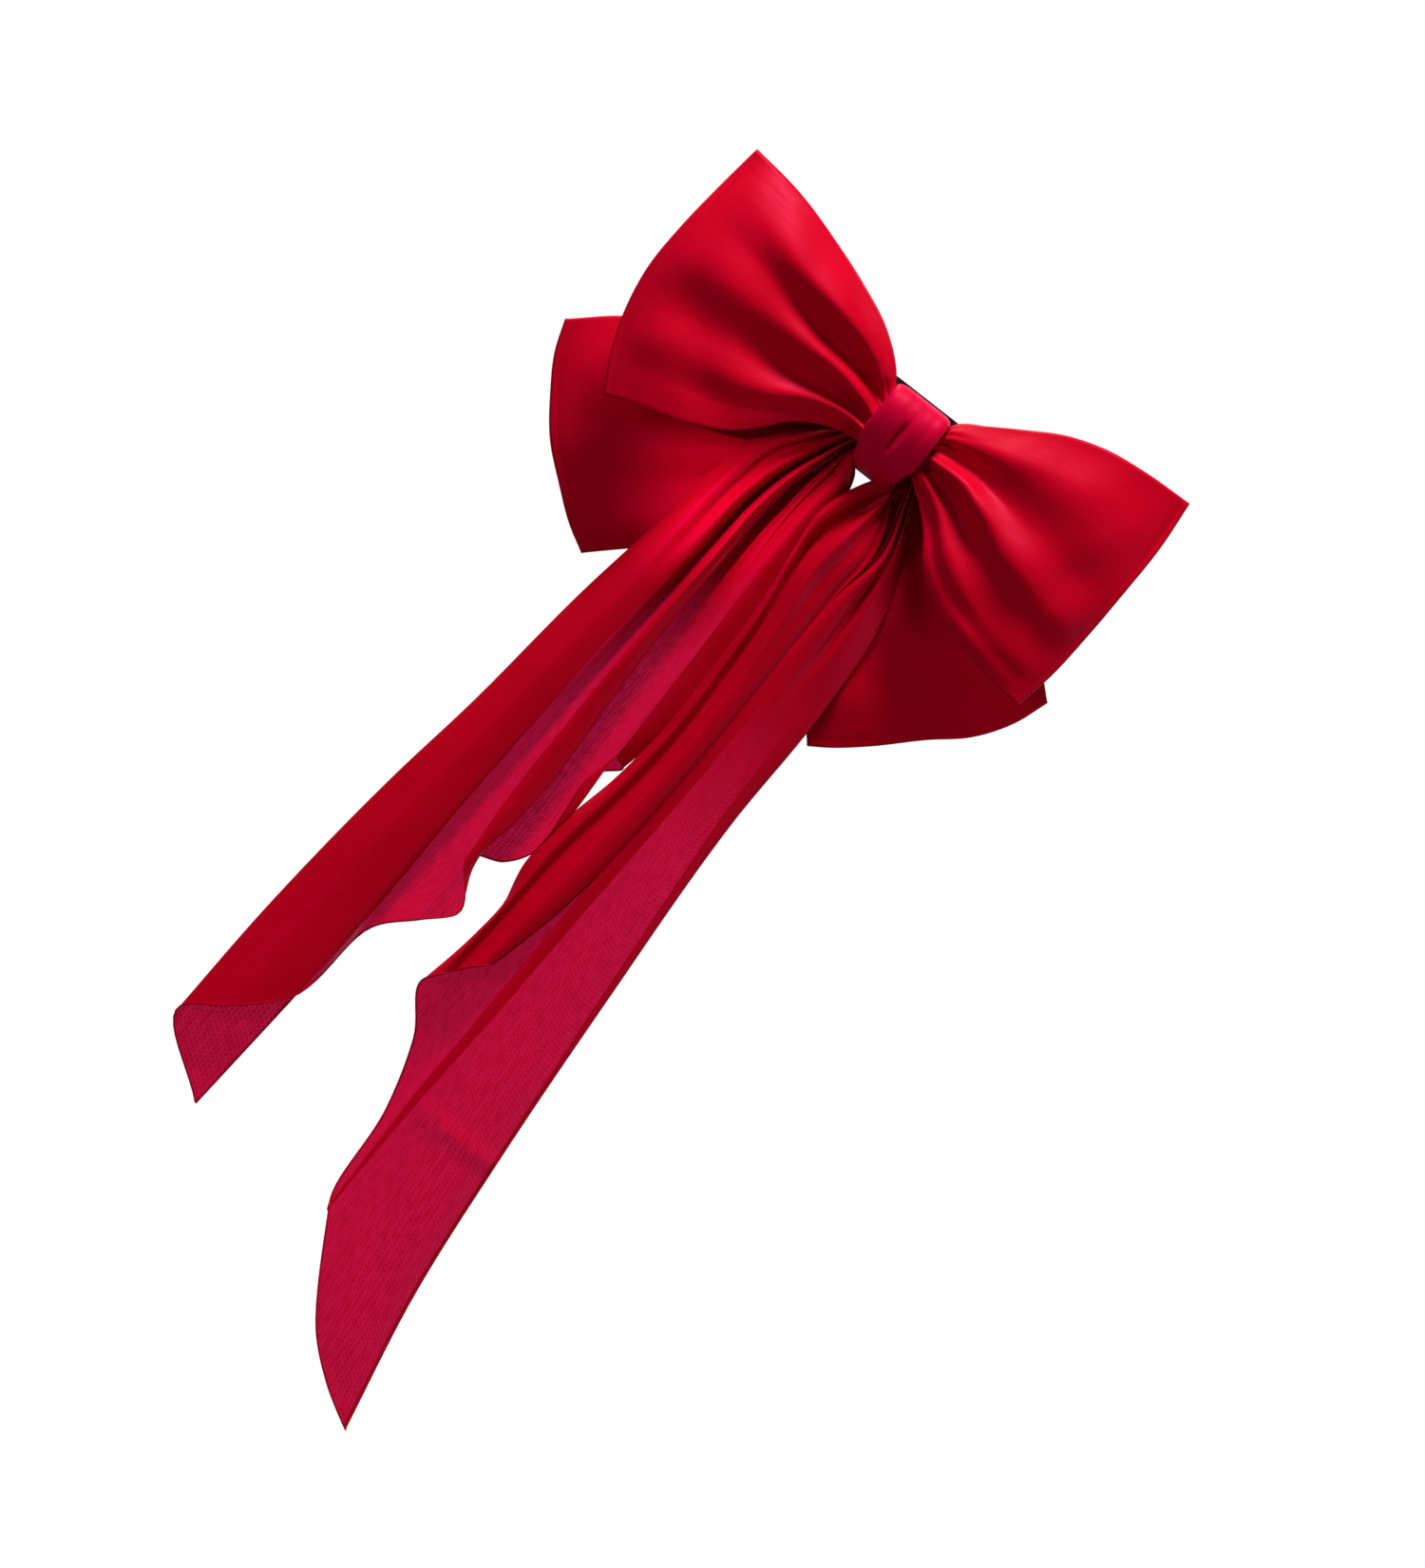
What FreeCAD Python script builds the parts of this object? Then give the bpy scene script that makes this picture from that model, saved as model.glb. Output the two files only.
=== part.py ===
import FreeCAD, Part
import math
import os
import Sketcher

# Layered satin hair bow on a French barrette, in millimetres.
# The origin is the centre of the gap that holds the hair. +X runs along the wings, to the right as
# seen from the front, +Y points to the head, and +Z is up, so the tails hang along -Z.

SIZES = {
    # French barrette
    "plate_length": 80, "plate_width": 9.5, "plate_thick": 0.8, "plate_radius": 160,
    "plate_inner_y": -5.65, "corner_radius": 2.4, "sew_hole_radius": 0.9, "sew_hole_x": 25,
    "sew_hole_z": 2.6, "ear_thick": 0.8, "ear_foot_x": -33, "ear_shoulder_y": 0.6, "ear_radius": 1.9,
    "ear_low_back_y": -1.2, "ear_low_front_y": -2.6,
    "pin_x": -38, "pin_y": 4.6, "pin_radius": 0.7, "pin_head_radius": 1.2, "pin_head": 0.5,
    "running_gap": 0.05, "arm_radius": 700, "arm_inner_y": 3.1, "arm_thick": 0.9, "arm_width": 6.6,
    "arm_reach": 40.5, "tip_from_x": 29.5, "tip_width": 9.4, "knuckle_radius": 1.5,
    "slot_x": 34.9, "slot_length": 5.2, "slot_half": 2.8,
    "bar_radius": 262, "bar_centre_x": 2.6, "bar_low_y": -3.4, "bar_thick": 0.5, "bar_width": 5.2,
    "bar_tip_x": 27.8, "trunnion_x": -35.8, "trunnion_radius": 0.55, "trunnion_length": 8.6,
    "base_from_x": 28.5, "base_to_x": 38.5, "base_top_y": -0.6, "base_width": 6.6,
    "rivet_x": 30.4, "rivet_z": 1.9, "rivet_radius": 0.6, "rivet_head_radius": 1.0, "rivet_head": 0.4,
    "rivet_dome": 0.24,
    "prong_from_x": 33.4, "prong_width": 3.0, "prong_inner": 2.1, "prong_thick": 0.5,
    "prong_foot_radius": 0.45, "hook_low_y": 5.0, "hook_top_y": 5.8, "hook_reach": 3.3,
    "tab_y": 1.0, "tab_top_y": 2.6, "tab_reach": 5.6,
    # Stack behind and inside the knot
    "pad_length": 14, "pad_width": 6.4, "pad_thick": 1.0, "band_thick": 1.3, "binding_thick": 0.5,
    "binding_width": 3.0, "binding_corner": 0.7, "back_pinch": 5.0, "tail_pinch": 4.0,
    "front_pinch": 5.0, "fit_gap": 0.15,
    # Knot band
    "knot_top": 3.7, "knot_height": 27, "knot_corner": 4.2, "knot_top_width": 20,
    "knot_bottom_width": 13.5, "knot_waist_z": -13, "taper_overrun": 1,
    # Loops of ribbon
    "ribbon_thick": 1.2, "seam_gap": 0.6, "puff_from": 15, "puff_full": 46, "flare_from": 9,
    "flare_full": 75, "droop_full": 30, "front_pinch_z": -8.9, "front_pinch_half": 8.3,
    "front_left_top_reach": 81.3, "front_left_reach": 85.3, "front_left_low_reach": 72.6,
    "front_left_top": 30.7, "front_left_low": -51.1,
    "front_right_top_reach": 75.9, "front_right_reach": 77.2, "front_right_low_reach": 72.4,
    "front_right_top": 27.0, "front_right_low": -48.4,
    "front_half_depth": 7.5, "front_lean": -6.5,
    "back_pinch_z": -9.8, "back_pinch_half": 7.5, "back_droop": 42,
    "back_left_top_reach": 88.6, "back_left_reach": 95.5, "back_left_low_reach": 89.8,
    "back_left_top": 34.9, "back_left_low": -32.1,
    "back_right_top_reach": 78.8, "back_right_reach": 86.0, "back_right_low_reach": 78.8,
    "back_right_top": 21.5, "back_right_low": -48.1,
    "back_half_depth": 5.5, "back_lean": 5.5,
    # Tails
    "tail_pinch_top": -5.5, "tail_pinch_low": -17.5, "tail_depth": 5.0,
    "right_cut_bulge_x": -11, "right_cut_bulge_z": -10,
}

# The edges of each tail as (x, z), from the pinch in the knot down to the slanted cut. The outer
# edge leaves the side of the knot as a shoulder and then hangs; the inner edge goes round the lower
# corner of the knot band and then hangs.
LEFT_OUTER = [(-8, -8.5), (-19.5, -19.5), (-31, -31), (-35.5, -48), (-41.5, -89), (-49.5, -145),
              (-57, -200.5), (-61.5, -255), (-57.5, -273), (-43, -285)]
LEFT_INNER = [(-6.8, -18.2), (-8.4, -22.2), (-4.2, -29), (-3.2, -49), (-3.2, -78), (-3.6, -101),
              (-4.2, -119.5), (-4.5, -133)]
RIGHT_OUTER = [(8, -8.5), (16.5, -20.5), (23.5, -37), (29, -60), (31, -92), (31.5, -154),
               (36, -230), (42.5, -294), (49.5, -332.6)]
RIGHT_INNER = [(2.5, -17.4), (6.6, -17.9), (8.2, -22.2), (1.2, -30), (-0.6, -49), (-0.6, -78),
               (-0.8, -97), (-5, -144), (-8.5, -174), (-11.8, -217)]

doc = FreeCAD.newDocument("hair_bow")
sheet = doc.addObject("Spreadsheet::Sheet", "sizes")


def fill_sheet():
    """Write every driving dimension as a named cell."""
    for row, (alias, number) in enumerate(SIZES.items(), start=1):
        sheet.set("A%d" % row, alias)
        sheet.set("B%d" % row, str(number))
        sheet.setAlias("B%d" % row, alias)
    doc.recompute()


def value(expression):
    """The number that an expression on the sheet gives."""
    result = sheet.evalExpression(expression)
    return float(getattr(result, "Value", result))


def size(alias):
    return float(sheet.get(alias))


def bind(item, **expressions):
    """Bind properties of an object to expressions on the sheet."""
    for name, expression in expressions.items():
        item.setExpression(name.replace("__", "."), expression)


# ---------------------------------------------------------------- sketch and body helpers

def new_body(name):
    body = doc.addObject("PartDesign::Body", name)
    body.Label = name
    return body


def new_sketch(body, name, plane, lift=None):
    """An empty sketch on one of the body's own origin planes, lifted along the plane's normal."""
    sketch = body.newObject("Sketcher::SketchObject", name)
    support = [item for item in body.Origin.OriginFeatures if item.Role == plane][0]
    sketch.AttachmentSupport = [(support, "")]
    sketch.MapMode = "FlatFace"
    if lift:
        sketch.setExpression("AttachmentOffset.Base.z", lift)
    return sketch


def constrain(sketch, expression, kind, *where):
    """Add one dimension whose value is an expression on the sheet."""
    number = sketch.addConstraint(Sketcher.Constraint(kind, *where, value(expression)))
    sketch.setExpression("Constraints[%d]" % number, expression)


def pin(sketch, item, end, x, y):
    """Hold one point of a sketch item at (x, y), both given as expressions."""
    constrain(sketch, x, "DistanceX", -1, 1, item, end)
    constrain(sketch, y, "DistanceY", -1, 1, item, end)


def draw_outline(sketch, points):
    """A closed outline of straight lines through points given as pairs of expressions."""
    places = [FreeCAD.Vector(value(x), value(y), 0) for x, y in points]
    for index, place in enumerate(places):
        following = places[(index + 1) % len(places)]
        line = sketch.addGeometry(Part.LineSegment(place, following))
        pin(sketch, line, 1, *points[index])
    for index in range(len(places)):
        following = (index + 1) % len(places)
        sketch.addConstraint(Sketcher.Constraint("Coincident", index, 2, following, 1))


def draw_circle(sketch, x, y, radius):
    centre = FreeCAD.Vector(value(x), value(y), 0)
    axis = FreeCAD.Vector(0, 0, 1)
    item = sketch.addGeometry(Part.Circle(centre, axis, value(radius)))
    pin(sketch, item, 3, x, y)
    constrain(sketch, radius, "Radius", item)


def draw_arched_strip(sketch, centre, radii, ends):
    """A strip between two arcs that share a centre above it, cut square to X at both ends."""
    middle = FreeCAD.Vector(value(centre[0]), value(centre[1]), 0)
    arcs = []
    for radius in radii:
        circle = Part.Circle(middle, FreeCAD.Vector(0, 0, 1), value(radius))
        angles = [-math.acos((value(end) - middle.x) / value(radius)) for end in ends]
        arcs.append(sketch.addGeometry(Part.ArcOfCircle(circle, *angles)))
    for arc, radius in zip(arcs, radii):
        pin(sketch, arc, 3, *centre)
        constrain(sketch, radius, "Radius", arc)
    for end, expression in zip((1, 2), ends):
        places = [sketch.getPoint(arc, end) for arc in arcs]
        line = sketch.addGeometry(Part.LineSegment(*places))
        sketch.addConstraint(Sketcher.Constraint("Coincident", arcs[0], end, line, 1))
        sketch.addConstraint(Sketcher.Constraint("Coincident", arcs[1], end, line, 2))
        sketch.addConstraint(Sketcher.Constraint("Vertical", line))
        constrain(sketch, expression, "DistanceX", -1, 1, line, 1)


def pad(body, sketch, length, both_ways=True):
    """Pad a sketch, half to each side of its plane unless told otherwise."""
    feature = body.newObject("PartDesign::Pad", sketch.Name + "_pad")
    feature.Profile = sketch
    feature.SideType = "Symmetric" if both_ways else "One side"
    feature.setExpression("Length", length)
    sketch.Visibility = False
    doc.recompute()
    return feature


def cut_through(body, sketch):
    """Cut a sketch through the whole body, both ways, and insist that something was removed."""
    before = body.Shape.Volume
    feature = body.newObject("PartDesign::Pocket", sketch.Name + "_cut")
    feature.Profile = sketch
    feature.Type = "ThroughAll"
    feature.Midplane = True
    sketch.Visibility = False
    doc.recompute()
    if body.Shape.Volume >= before:
        raise RuntimeError(sketch.Name + " removed nothing")
    return feature


def mirror_across_width(body, features):
    """Repeat features on the other side of the plane Z = 0."""
    feature = body.newObject("PartDesign::Mirrored", features[0].Name + "_mirror")
    feature.Originals = features
    plane = [item for item in body.Origin.OriginFeatures if item.Role == "XY_Plane"][0]
    feature.MirrorPlane = (plane, [""])
    body.Tip = feature
    doc.recompute()
    return feature


# ---------------------------------------------------------------- French barrette

PLATE_CENTRE = ("0", "sizes.plate_inner_y + sizes.plate_radius")
PLATE_OUTER = "sizes.plate_radius + sizes.plate_thick"


def make_top_plate():
    """Arched plate with sewing holes, and two ears folded up at its hinge end."""
    body = new_body("top_plate")
    arch = new_sketch(body, "plate_arch", "XY_Plane")
    ends = ("-sizes.plate_length / 2", "sizes.plate_length / 2")
    draw_arched_strip(arch, PLATE_CENTRE, ("sizes.plate_radius", PLATE_OUTER), ends)
    pad(body, arch, "sizes.plate_width")
    round_plate_corners(body)
    holes = new_sketch(body, "plate_holes", "XZ_Plane")
    for x in ("-sizes.sew_hole_x", "sizes.sew_hole_x"):
        for z in ("-sizes.sew_hole_z", "sizes.sew_hole_z"):
            draw_circle(holes, x, z, "sizes.sew_hole_radius")
    cut_through(body, holes)
    add_hinge_ears(body)
    return body


def round_plate_corners(body):
    """Round the two free corners, away from the hinge."""
    plate = body.Tip
    half = size("plate_length") / 2
    corners = []
    for number, edge in enumerate(plate.Shape.Edges, start=1):
        middle = edge.BoundBox.Center
        if middle.x > half - 0.01 and edge.BoundBox.ZLength < 0.01:
            corners.append("Edge%d" % number)
    fillet = body.newObject("PartDesign::Fillet", "plate_corners")
    fillet.Base = (plate, corners)
    fillet.setExpression("Radius", "sizes.corner_radius")
    doc.recompute()


def add_hinge_ears(body):
    """Ears with a hole for the hinge pin and one for the trunnion of the tension bar."""
    inner_side = "sizes.plate_width / 2 - sizes.ear_thick"
    ear = new_sketch(body, "hinge_ear", "XY_Plane", inner_side)
    back = "sizes.pin_x - sizes.ear_radius"
    front = "sizes.pin_x + sizes.ear_radius"
    outline = [
        (back, "sizes.pin_y"),
        (back, "sizes.ear_low_back_y"),
        ("sizes.ear_foot_x", "sizes.ear_low_front_y"),
        ("sizes.ear_foot_x", "sizes.ear_shoulder_y"),
        (front, "sizes.pin_y"),
    ]
    places = [FreeCAD.Vector(value(x), value(y), 0) for x, y in outline]
    for start, end in zip(places, places[1:]):
        ear.addGeometry(Part.LineSegment(start, end))
    for index, point in enumerate(outline[:-1]):
        pin(ear, index, 1, *point)
    pin(ear, len(outline) - 2, 2, *outline[-1])
    for index in range(len(outline) - 2):
        ear.addConstraint(Sketcher.Constraint("Coincident", index, 2, index + 1, 1))
    centre = FreeCAD.Vector(size("pin_x"), size("pin_y"), 0)
    circle = Part.Circle(centre, FreeCAD.Vector(0, 0, 1), size("ear_radius"))
    top = ear.addGeometry(Part.ArcOfCircle(circle, 0, math.pi))
    ear.addConstraint(Sketcher.Constraint("Coincident", top, 1, len(outline) - 2, 2))
    ear.addConstraint(Sketcher.Constraint("Coincident", top, 2, 0, 1))
    constrain(ear, "sizes.pin_y", "DistanceY", -1, 1, top, 3)
    draw_circle(ear, "sizes.pin_x", "sizes.pin_y", "sizes.pin_radius + sizes.running_gap")
    trunnion_hole = "sizes.trunnion_radius + sizes.running_gap"
    draw_circle(ear, "sizes.trunnion_x", TRUNNION_Y, trunnion_hole)
    one_ear = pad(body, ear, "sizes.ear_thick", both_ways=False)
    mirror_across_width(body, [one_ear])


def bar_height(x):
    """Expression for the height of the tension bar's middle at x, on its own arc."""
    rise = "sqrt(sizes.bar_radius^2 - (%s - sizes.bar_centre_x)^2)" % x
    return "sizes.bar_low_y + sizes.bar_radius - " + rise


TRUNNION_Y = bar_height("sizes.trunnion_x")


def make_hinge_pin():
    """Riveted pin through both ears, with a flat head outside each."""
    shank = doc.addObject("Part::Cylinder", "pin_shank")
    bind(shank, Radius="sizes.pin_radius", Height="sizes.plate_width + 2 * sizes.pin_head")
    bind(shank, Placement__Base__z="-sizes.plate_width / 2 - sizes.pin_head")
    heads = []
    for name, z in (("pin_head_low", "-sizes.plate_width / 2 - sizes.pin_head"),
                    ("pin_head_top", "sizes.plate_width / 2")):
        head = doc.addObject("Part::Cylinder", name)
        bind(head, Radius="sizes.pin_head_radius", Height="sizes.pin_head", Placement__Base__z=z)
        heads.append(head)
    for item in [shank] + heads:
        bind(item, Placement__Base__x="sizes.pin_x", Placement__Base__y="sizes.pin_y")
    hinge_pin = doc.addObject("Part::MultiFuse", "hinge_pin")
    hinge_pin.Shapes = [shank] + heads
    return hinge_pin


def make_clasp_arm():
    """Flat sprung arm with a rolled knuckle, and a slotted tip that the catch grips."""
    body = new_body("clasp_arm")
    centre = ("0", "sizes.arm_inner_y + sizes.arm_radius")
    radii = ("sizes.arm_radius - sizes.arm_thick", "sizes.arm_radius")
    arm = new_sketch(body, "arm_strip", "XY_Plane")
    draw_arched_strip(arm, centre, radii, ("sizes.pin_x", "sizes.arm_reach"))
    pad(body, arm, "sizes.arm_width")
    tip = new_sketch(body, "arm_tip", "XY_Plane")
    draw_arched_strip(tip, centre, radii, ("sizes.tip_from_x", "sizes.arm_reach"))
    pad(body, tip, "sizes.tip_width")
    knuckle = new_sketch(body, "arm_knuckle", "XY_Plane")
    draw_circle(knuckle, "sizes.pin_x", "sizes.pin_y", "sizes.knuckle_radius")
    pad(body, knuckle, "sizes.arm_width")
    bore = new_sketch(body, "knuckle_bore", "XY_Plane")
    draw_circle(bore, "sizes.pin_x", "sizes.pin_y", "sizes.pin_radius + sizes.running_gap")
    cut_through(body, bore)
    slot = new_sketch(body, "catch_slot", "XZ_Plane")
    near = "sizes.slot_x - sizes.slot_length / 2"
    far = "sizes.slot_x + sizes.slot_length / 2"
    low, high = "-sizes.slot_half", "sizes.slot_half"
    draw_outline(slot, [(near, low), (far, low), (far, high), (near, high)])
    cut_through(body, slot)
    return body


def make_tension_bar():
    """Thin bowed spring inside the clasp that presses the hair, with its trunnion."""
    body = new_body("tension_bar")
    bow = new_sketch(body, "bar_strip", "XY_Plane")
    centre = ("sizes.bar_centre_x", "sizes.bar_low_y + sizes.bar_radius")
    half = "sizes.bar_thick / 2"
    radii = ("sizes.bar_radius - " + half, "sizes.bar_radius + " + half)
    draw_arched_strip(bow, centre, radii, ("sizes.trunnion_x", "sizes.bar_tip_x"))
    pad(body, bow, "sizes.bar_width")
    trunnion = new_sketch(body, "bar_trunnion", "XY_Plane")
    draw_circle(trunnion, "sizes.trunnion_x", TRUNNION_Y, "sizes.trunnion_radius")
    pad(body, trunnion, "sizes.trunnion_length")
    return body


def make_catch_base():
    """Block riveted to the plate, with a groove along each side for the foot of a prong."""
    body = new_body("catch_base")
    block = new_sketch(body, "base_block", "XY_Plane")
    ends = ("sizes.base_from_x", "sizes.base_to_x")
    draw_block_on_arch(block, "sizes.plate_radius", ends, "sizes.base_top_y", 1)
    pad(body, block, "sizes.base_width")
    grooves = new_sketch(body, "foot_grooves", "YZ_Plane")
    for z in (FOOT_Z, "-(%s)" % FOOT_Z):
        draw_circle(grooves, "sizes.base_top_y", z, "sizes.prong_foot_radius + sizes.running_gap")
    cut_through(body, grooves)
    return body


def draw_block_on_arch(sketch, radius, ends, flat, side):
    """An outline with one flat face and one face on the plate's arc: flat above it if side is 1."""
    middle = FreeCAD.Vector(value(PLATE_CENTRE[0]), value(PLATE_CENTRE[1]), 0)
    circle = Part.Circle(middle, FreeCAD.Vector(0, 0, 1), value(radius))
    angles = [-math.acos(value(end) / value(radius)) for end in ends]
    arc = sketch.addGeometry(Part.ArcOfCircle(circle, *angles))
    pin(sketch, arc, 3, *PLATE_CENTRE)
    constrain(sketch, radius, "Radius", arc)
    tops = [FreeCAD.Vector(value(end), value(flat), 0) for end in ends]
    sides = []
    for end, top in zip((1, 2), tops):
        sides.append(sketch.addGeometry(Part.LineSegment(sketch.getPoint(arc, end), top)))
    lid = sketch.addGeometry(Part.LineSegment(*tops))
    for end, line, expression in zip((1, 2), sides, ends):
        sketch.addConstraint(Sketcher.Constraint("Coincident", arc, end, line, 1))
        sketch.addConstraint(Sketcher.Constraint("Coincident", line, 2, lid, end))
        sketch.addConstraint(Sketcher.Constraint("Vertical", line))
        pin(sketch, lid, end, expression, flat)


FOOT_Z = "sizes.prong_inner + sizes.prong_thick / 2"


RIVET_REACH = 8


def rivet_axis():
    """Where a rivet's axis leaves the plate's outer face, and its direction towards the head."""
    lean = math.asin(size("rivet_x") / size("plate_radius"))
    outer = size("plate_radius") + size("plate_thick")
    centre_y = size("plate_inner_y") + size("plate_radius")
    foot = FreeCAD.Vector(outer * math.sin(lean), centre_y - outer * math.cos(lean), 0)
    return foot, FreeCAD.Vector(-math.sin(lean), math.cos(lean), 0)


def rivet_grip():
    """Length of a rivet between its two heads."""
    foot, towards_head = rivet_axis()
    return (size("base_top_y") - foot.y) / towards_head.y


def make_catch_rivets():
    """Two rivets that hold the catch to the plate, square to the plate's arc, as one compound."""
    foot, towards_head = rivet_axis()
    shank = Part.makeCylinder(size("rivet_radius"), rivet_grip())
    head = Part.makeCylinder(size("rivet_head_radius"), size("rivet_head"))
    dome = head.makeFillet(size("rivet_dome"), [head.Edges[0]])
    low_head = dome.mirror(FreeCAD.Vector(0, 0, 0), FreeCAD.Vector(0, 0, 1))
    high_head = dome.translated(FreeCAD.Vector(0, 0, rivet_grip()))
    rivet = shank.multiFuse([low_head, high_head])
    turn = FreeCAD.Rotation(FreeCAD.Vector(0, 0, 1), towards_head)
    rivet.Placement = FreeCAD.Placement(foot, turn)
    step = FreeCAD.Vector(0, 0, size("rivet_z"))
    rivets = doc.addObject("Part::Feature", "catch_rivets")
    rivets.Shape = Part.makeCompound([rivet.translated(step), rivet.translated(step * -1)])
    return rivets


def make_upper_prong():
    """Sprung side of the catch: a foot, a strip, a hook over the arm and a tab for a finger."""
    body = new_body("release_prong_upper")
    outer = "sizes.prong_inner + sizes.prong_thick"
    lift = "sizes.prong_from_x"
    strip = new_sketch(body, "prong_strip", "YZ_Plane", lift)
    draw_outline(strip, [
        ("sizes.base_top_y", "sizes.prong_inner"),
        ("sizes.base_top_y", outer),
        ("sizes.tab_y", outer),
        ("sizes.tab_y", "sizes.tab_reach"),
        ("sizes.tab_top_y", "sizes.tab_reach"),
        ("sizes.tab_top_y", "sizes.tab_reach - sizes.prong_thick"),
        ("sizes.tab_y + sizes.prong_thick", "sizes.tab_reach - sizes.prong_thick"),
        ("sizes.tab_y + sizes.prong_thick", outer),
        ("sizes.hook_low_y", outer),
        ("sizes.hook_low_y", "sizes.hook_reach"),
        ("sizes.hook_top_y", outer),
        ("sizes.hook_top_y", "sizes.prong_inner"),
    ])
    pad(body, strip, "sizes.prong_width", both_ways=False)
    foot = new_sketch(body, "prong_foot", "YZ_Plane", lift)
    draw_circle(foot, "sizes.base_top_y", FOOT_Z, "sizes.prong_foot_radius")
    pad(body, foot, "sizes.prong_width", both_ways=False)
    return body


def make_lower_prong(upper):
    """The other side of the catch, a mirror image of the upper one."""
    lower = doc.addObject("Part::Mirroring", "release_prong_lower")
    lower.Source = upper
    lower.Normal = FreeCAD.Vector(0, 0, 1)
    return lower


# ---------------------------------------------------------------- knot and what it holds

def stack():
    """Depth of each layer in the knot, as (far face, near face) in Y, from the plate outwards."""
    faces = {}
    y = size("plate_inner_y") - size("plate_thick")
    for name, depth in (("pad", "pad_thick"), ("band_rear", "band_thick"), ("back", "back_pinch"),
                        ("tail", "tail_pinch"), ("front", "front_pinch"), ("band_face", "band_thick")):
        faces[name] = (y, y - size(depth))
        y -= size(depth)
    return faces


def middle_of(layer):
    far, near = stack()[layer]
    return (far + near) / 2


PAD_FACE = "sizes.plate_inner_y - sizes.plate_thick - sizes.pad_thick"
KNOT_DEPTH = "2 * sizes.band_thick + sizes.back_pinch + sizes.tail_pinch + sizes.front_pinch"


def make_glue_pad():
    """Hardened glue between the arched plate and the flat back of the knot."""
    body = new_body("glue_pad")
    block = new_sketch(body, "glue_block", "XY_Plane")
    ends = ("-sizes.pad_length / 2", "sizes.pad_length / 2")
    draw_block_on_arch(block, PLATE_OUTER, ends, PAD_FACE, -1)
    pad(body, block, "sizes.pad_width")
    return body


def draw_rounded_box(sketch, x, y, corner):
    """A rectangle with round corners, between two pairs of expressions."""
    straight = [
        ((x[0] + " + " + corner, y[0]), (x[1] + " - " + corner, y[0])),
        ((x[1], y[0] + " + " + corner), (x[1], y[1] + " - " + corner)),
        ((x[1] + " - " + corner, y[1]), (x[0] + " + " + corner, y[1])),
        ((x[0], y[1] + " - " + corner), (x[0], y[0] + " + " + corner)),
    ]
    centres = [
        (x[1] + " - " + corner, y[0] + " + " + corner),
        (x[1] + " - " + corner, y[1] + " - " + corner),
        (x[0] + " + " + corner, y[1] + " - " + corner),
        (x[0] + " + " + corner, y[0] + " + " + corner),
    ]
    lines = []
    for start, end in straight:
        places = [FreeCAD.Vector(value(a), value(b), 0) for a, b in (start, end)]
        line = sketch.addGeometry(Part.LineSegment(*places))
        pin(sketch, line, 1, *start)
        pin(sketch, line, 2, *end)
        lines.append(line)
    for quarter, (a, b) in enumerate(centres):
        middle = FreeCAD.Vector(value(a), value(b), 0)
        circle = Part.Circle(middle, FreeCAD.Vector(0, 0, 1), value(corner))
        start = (quarter - 1) * math.pi / 2
        arc = sketch.addGeometry(Part.ArcOfCircle(circle, start, start + math.pi / 2))
        sketch.addConstraint(Sketcher.Constraint("Coincident", arc, 1, lines[quarter], 2))
        sketch.addConstraint(Sketcher.Constraint("Coincident", arc, 2, lines[(quarter + 1) % 4], 1))
        constrain(sketch, corner, "Radius", arc)


def make_knot_band():
    """Band wrapped round the middle: a ring that narrows from its top to its bottom edge."""
    body = new_body("knot_band")
    ring = new_sketch(body, "band_ring", "YZ_Plane")
    far = PAD_FACE
    near = "%s - (%s)" % (PAD_FACE, KNOT_DEPTH)
    top = "sizes.knot_top"
    low = "sizes.knot_top - sizes.knot_height"
    draw_rounded_box(ring, (near, far), (low, top), "sizes.knot_corner")
    wall = " sizes.band_thick"
    inner_y = (near + " +" + wall, far + " -" + wall)
    inner_z = (low + " +" + wall, top + " -" + wall)
    draw_rounded_box(ring, inner_y, inner_z, "(sizes.knot_corner - sizes.band_thick)")
    pad(body, ring, "sizes.knot_top_width")
    sides = new_sketch(body, "band_taper", "XZ_Plane")
    waist = "sizes.knot_top_width / 2"
    foot = "sizes.knot_bottom_width / 2"
    below = "sizes.knot_top - sizes.knot_height - sizes.taper_overrun"
    draw_outline(sides, [(waist, "sizes.knot_waist_z"), (waist, below), (foot, below)])
    taper = cut_through(body, sides)
    mirror_knot(body, taper)
    return body


def mirror_knot(body, taper):
    """Repeat the taper on the other side of the plane X = 0."""
    feature = body.newObject("PartDesign::Mirrored", "band_taper_mirror")
    feature.Originals = [taper]
    plane = [item for item in body.Origin.OriginFeatures if item.Role == "YZ_Plane"][0]
    feature.MirrorPlane = (plane, [""])
    body.Tip = feature
    doc.recompute()


def make_binding(name, layer, middle_z, half_height):
    """Turns of thread round one gathered layer, as a flat ring inside the knot."""
    far, near = stack()[layer]
    body = new_body(name)
    ring = new_sketch(body, name + "_ring", "YZ_Plane")
    thread = size("binding_thick")
    outer_half = half_height + thread + size("fit_gap")
    for inset in (0, thread):
        y = ("%.4f" % (near + inset), "%.4f" % (far - inset))
        z = ("%.4f" % (middle_z - outer_half + inset), "%.4f" % (middle_z + outer_half - inset))
        draw_rounded_box(ring, y, z, "%.4f" % (size("binding_corner") - inset))
    pad(body, ring, "sizes.binding_width")
    return body


# ---------------------------------------------------------------- ribbon

# How the edges of a wing rise and fall from the knot, and how finely a loop is sampled.
TOP_FLARE = 0.9
LOW_FLARE = 1.3
QUARTER_STEPS = 12
NEAR_KNOT = 1.4
CROSS_STEPS = 6


def share(reach, start, full):
    """How much of a quarter sine wave is done between two reaches, from 0 to 1."""
    done = (reach - size(start)) / (size(full) - size(start))
    return math.sin(min(max(done, 0), 1) * math.pi / 2)


def smooth(amount):
    """Ease from 0 to 1."""
    amount = min(max(amount, 0.0), 1.0)
    return amount * amount * (3 - 2 * amount)


def skin(rows):
    surface = Part.BSplineSurface()
    surface.interpolate(rows)
    return surface.toShape()


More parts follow.
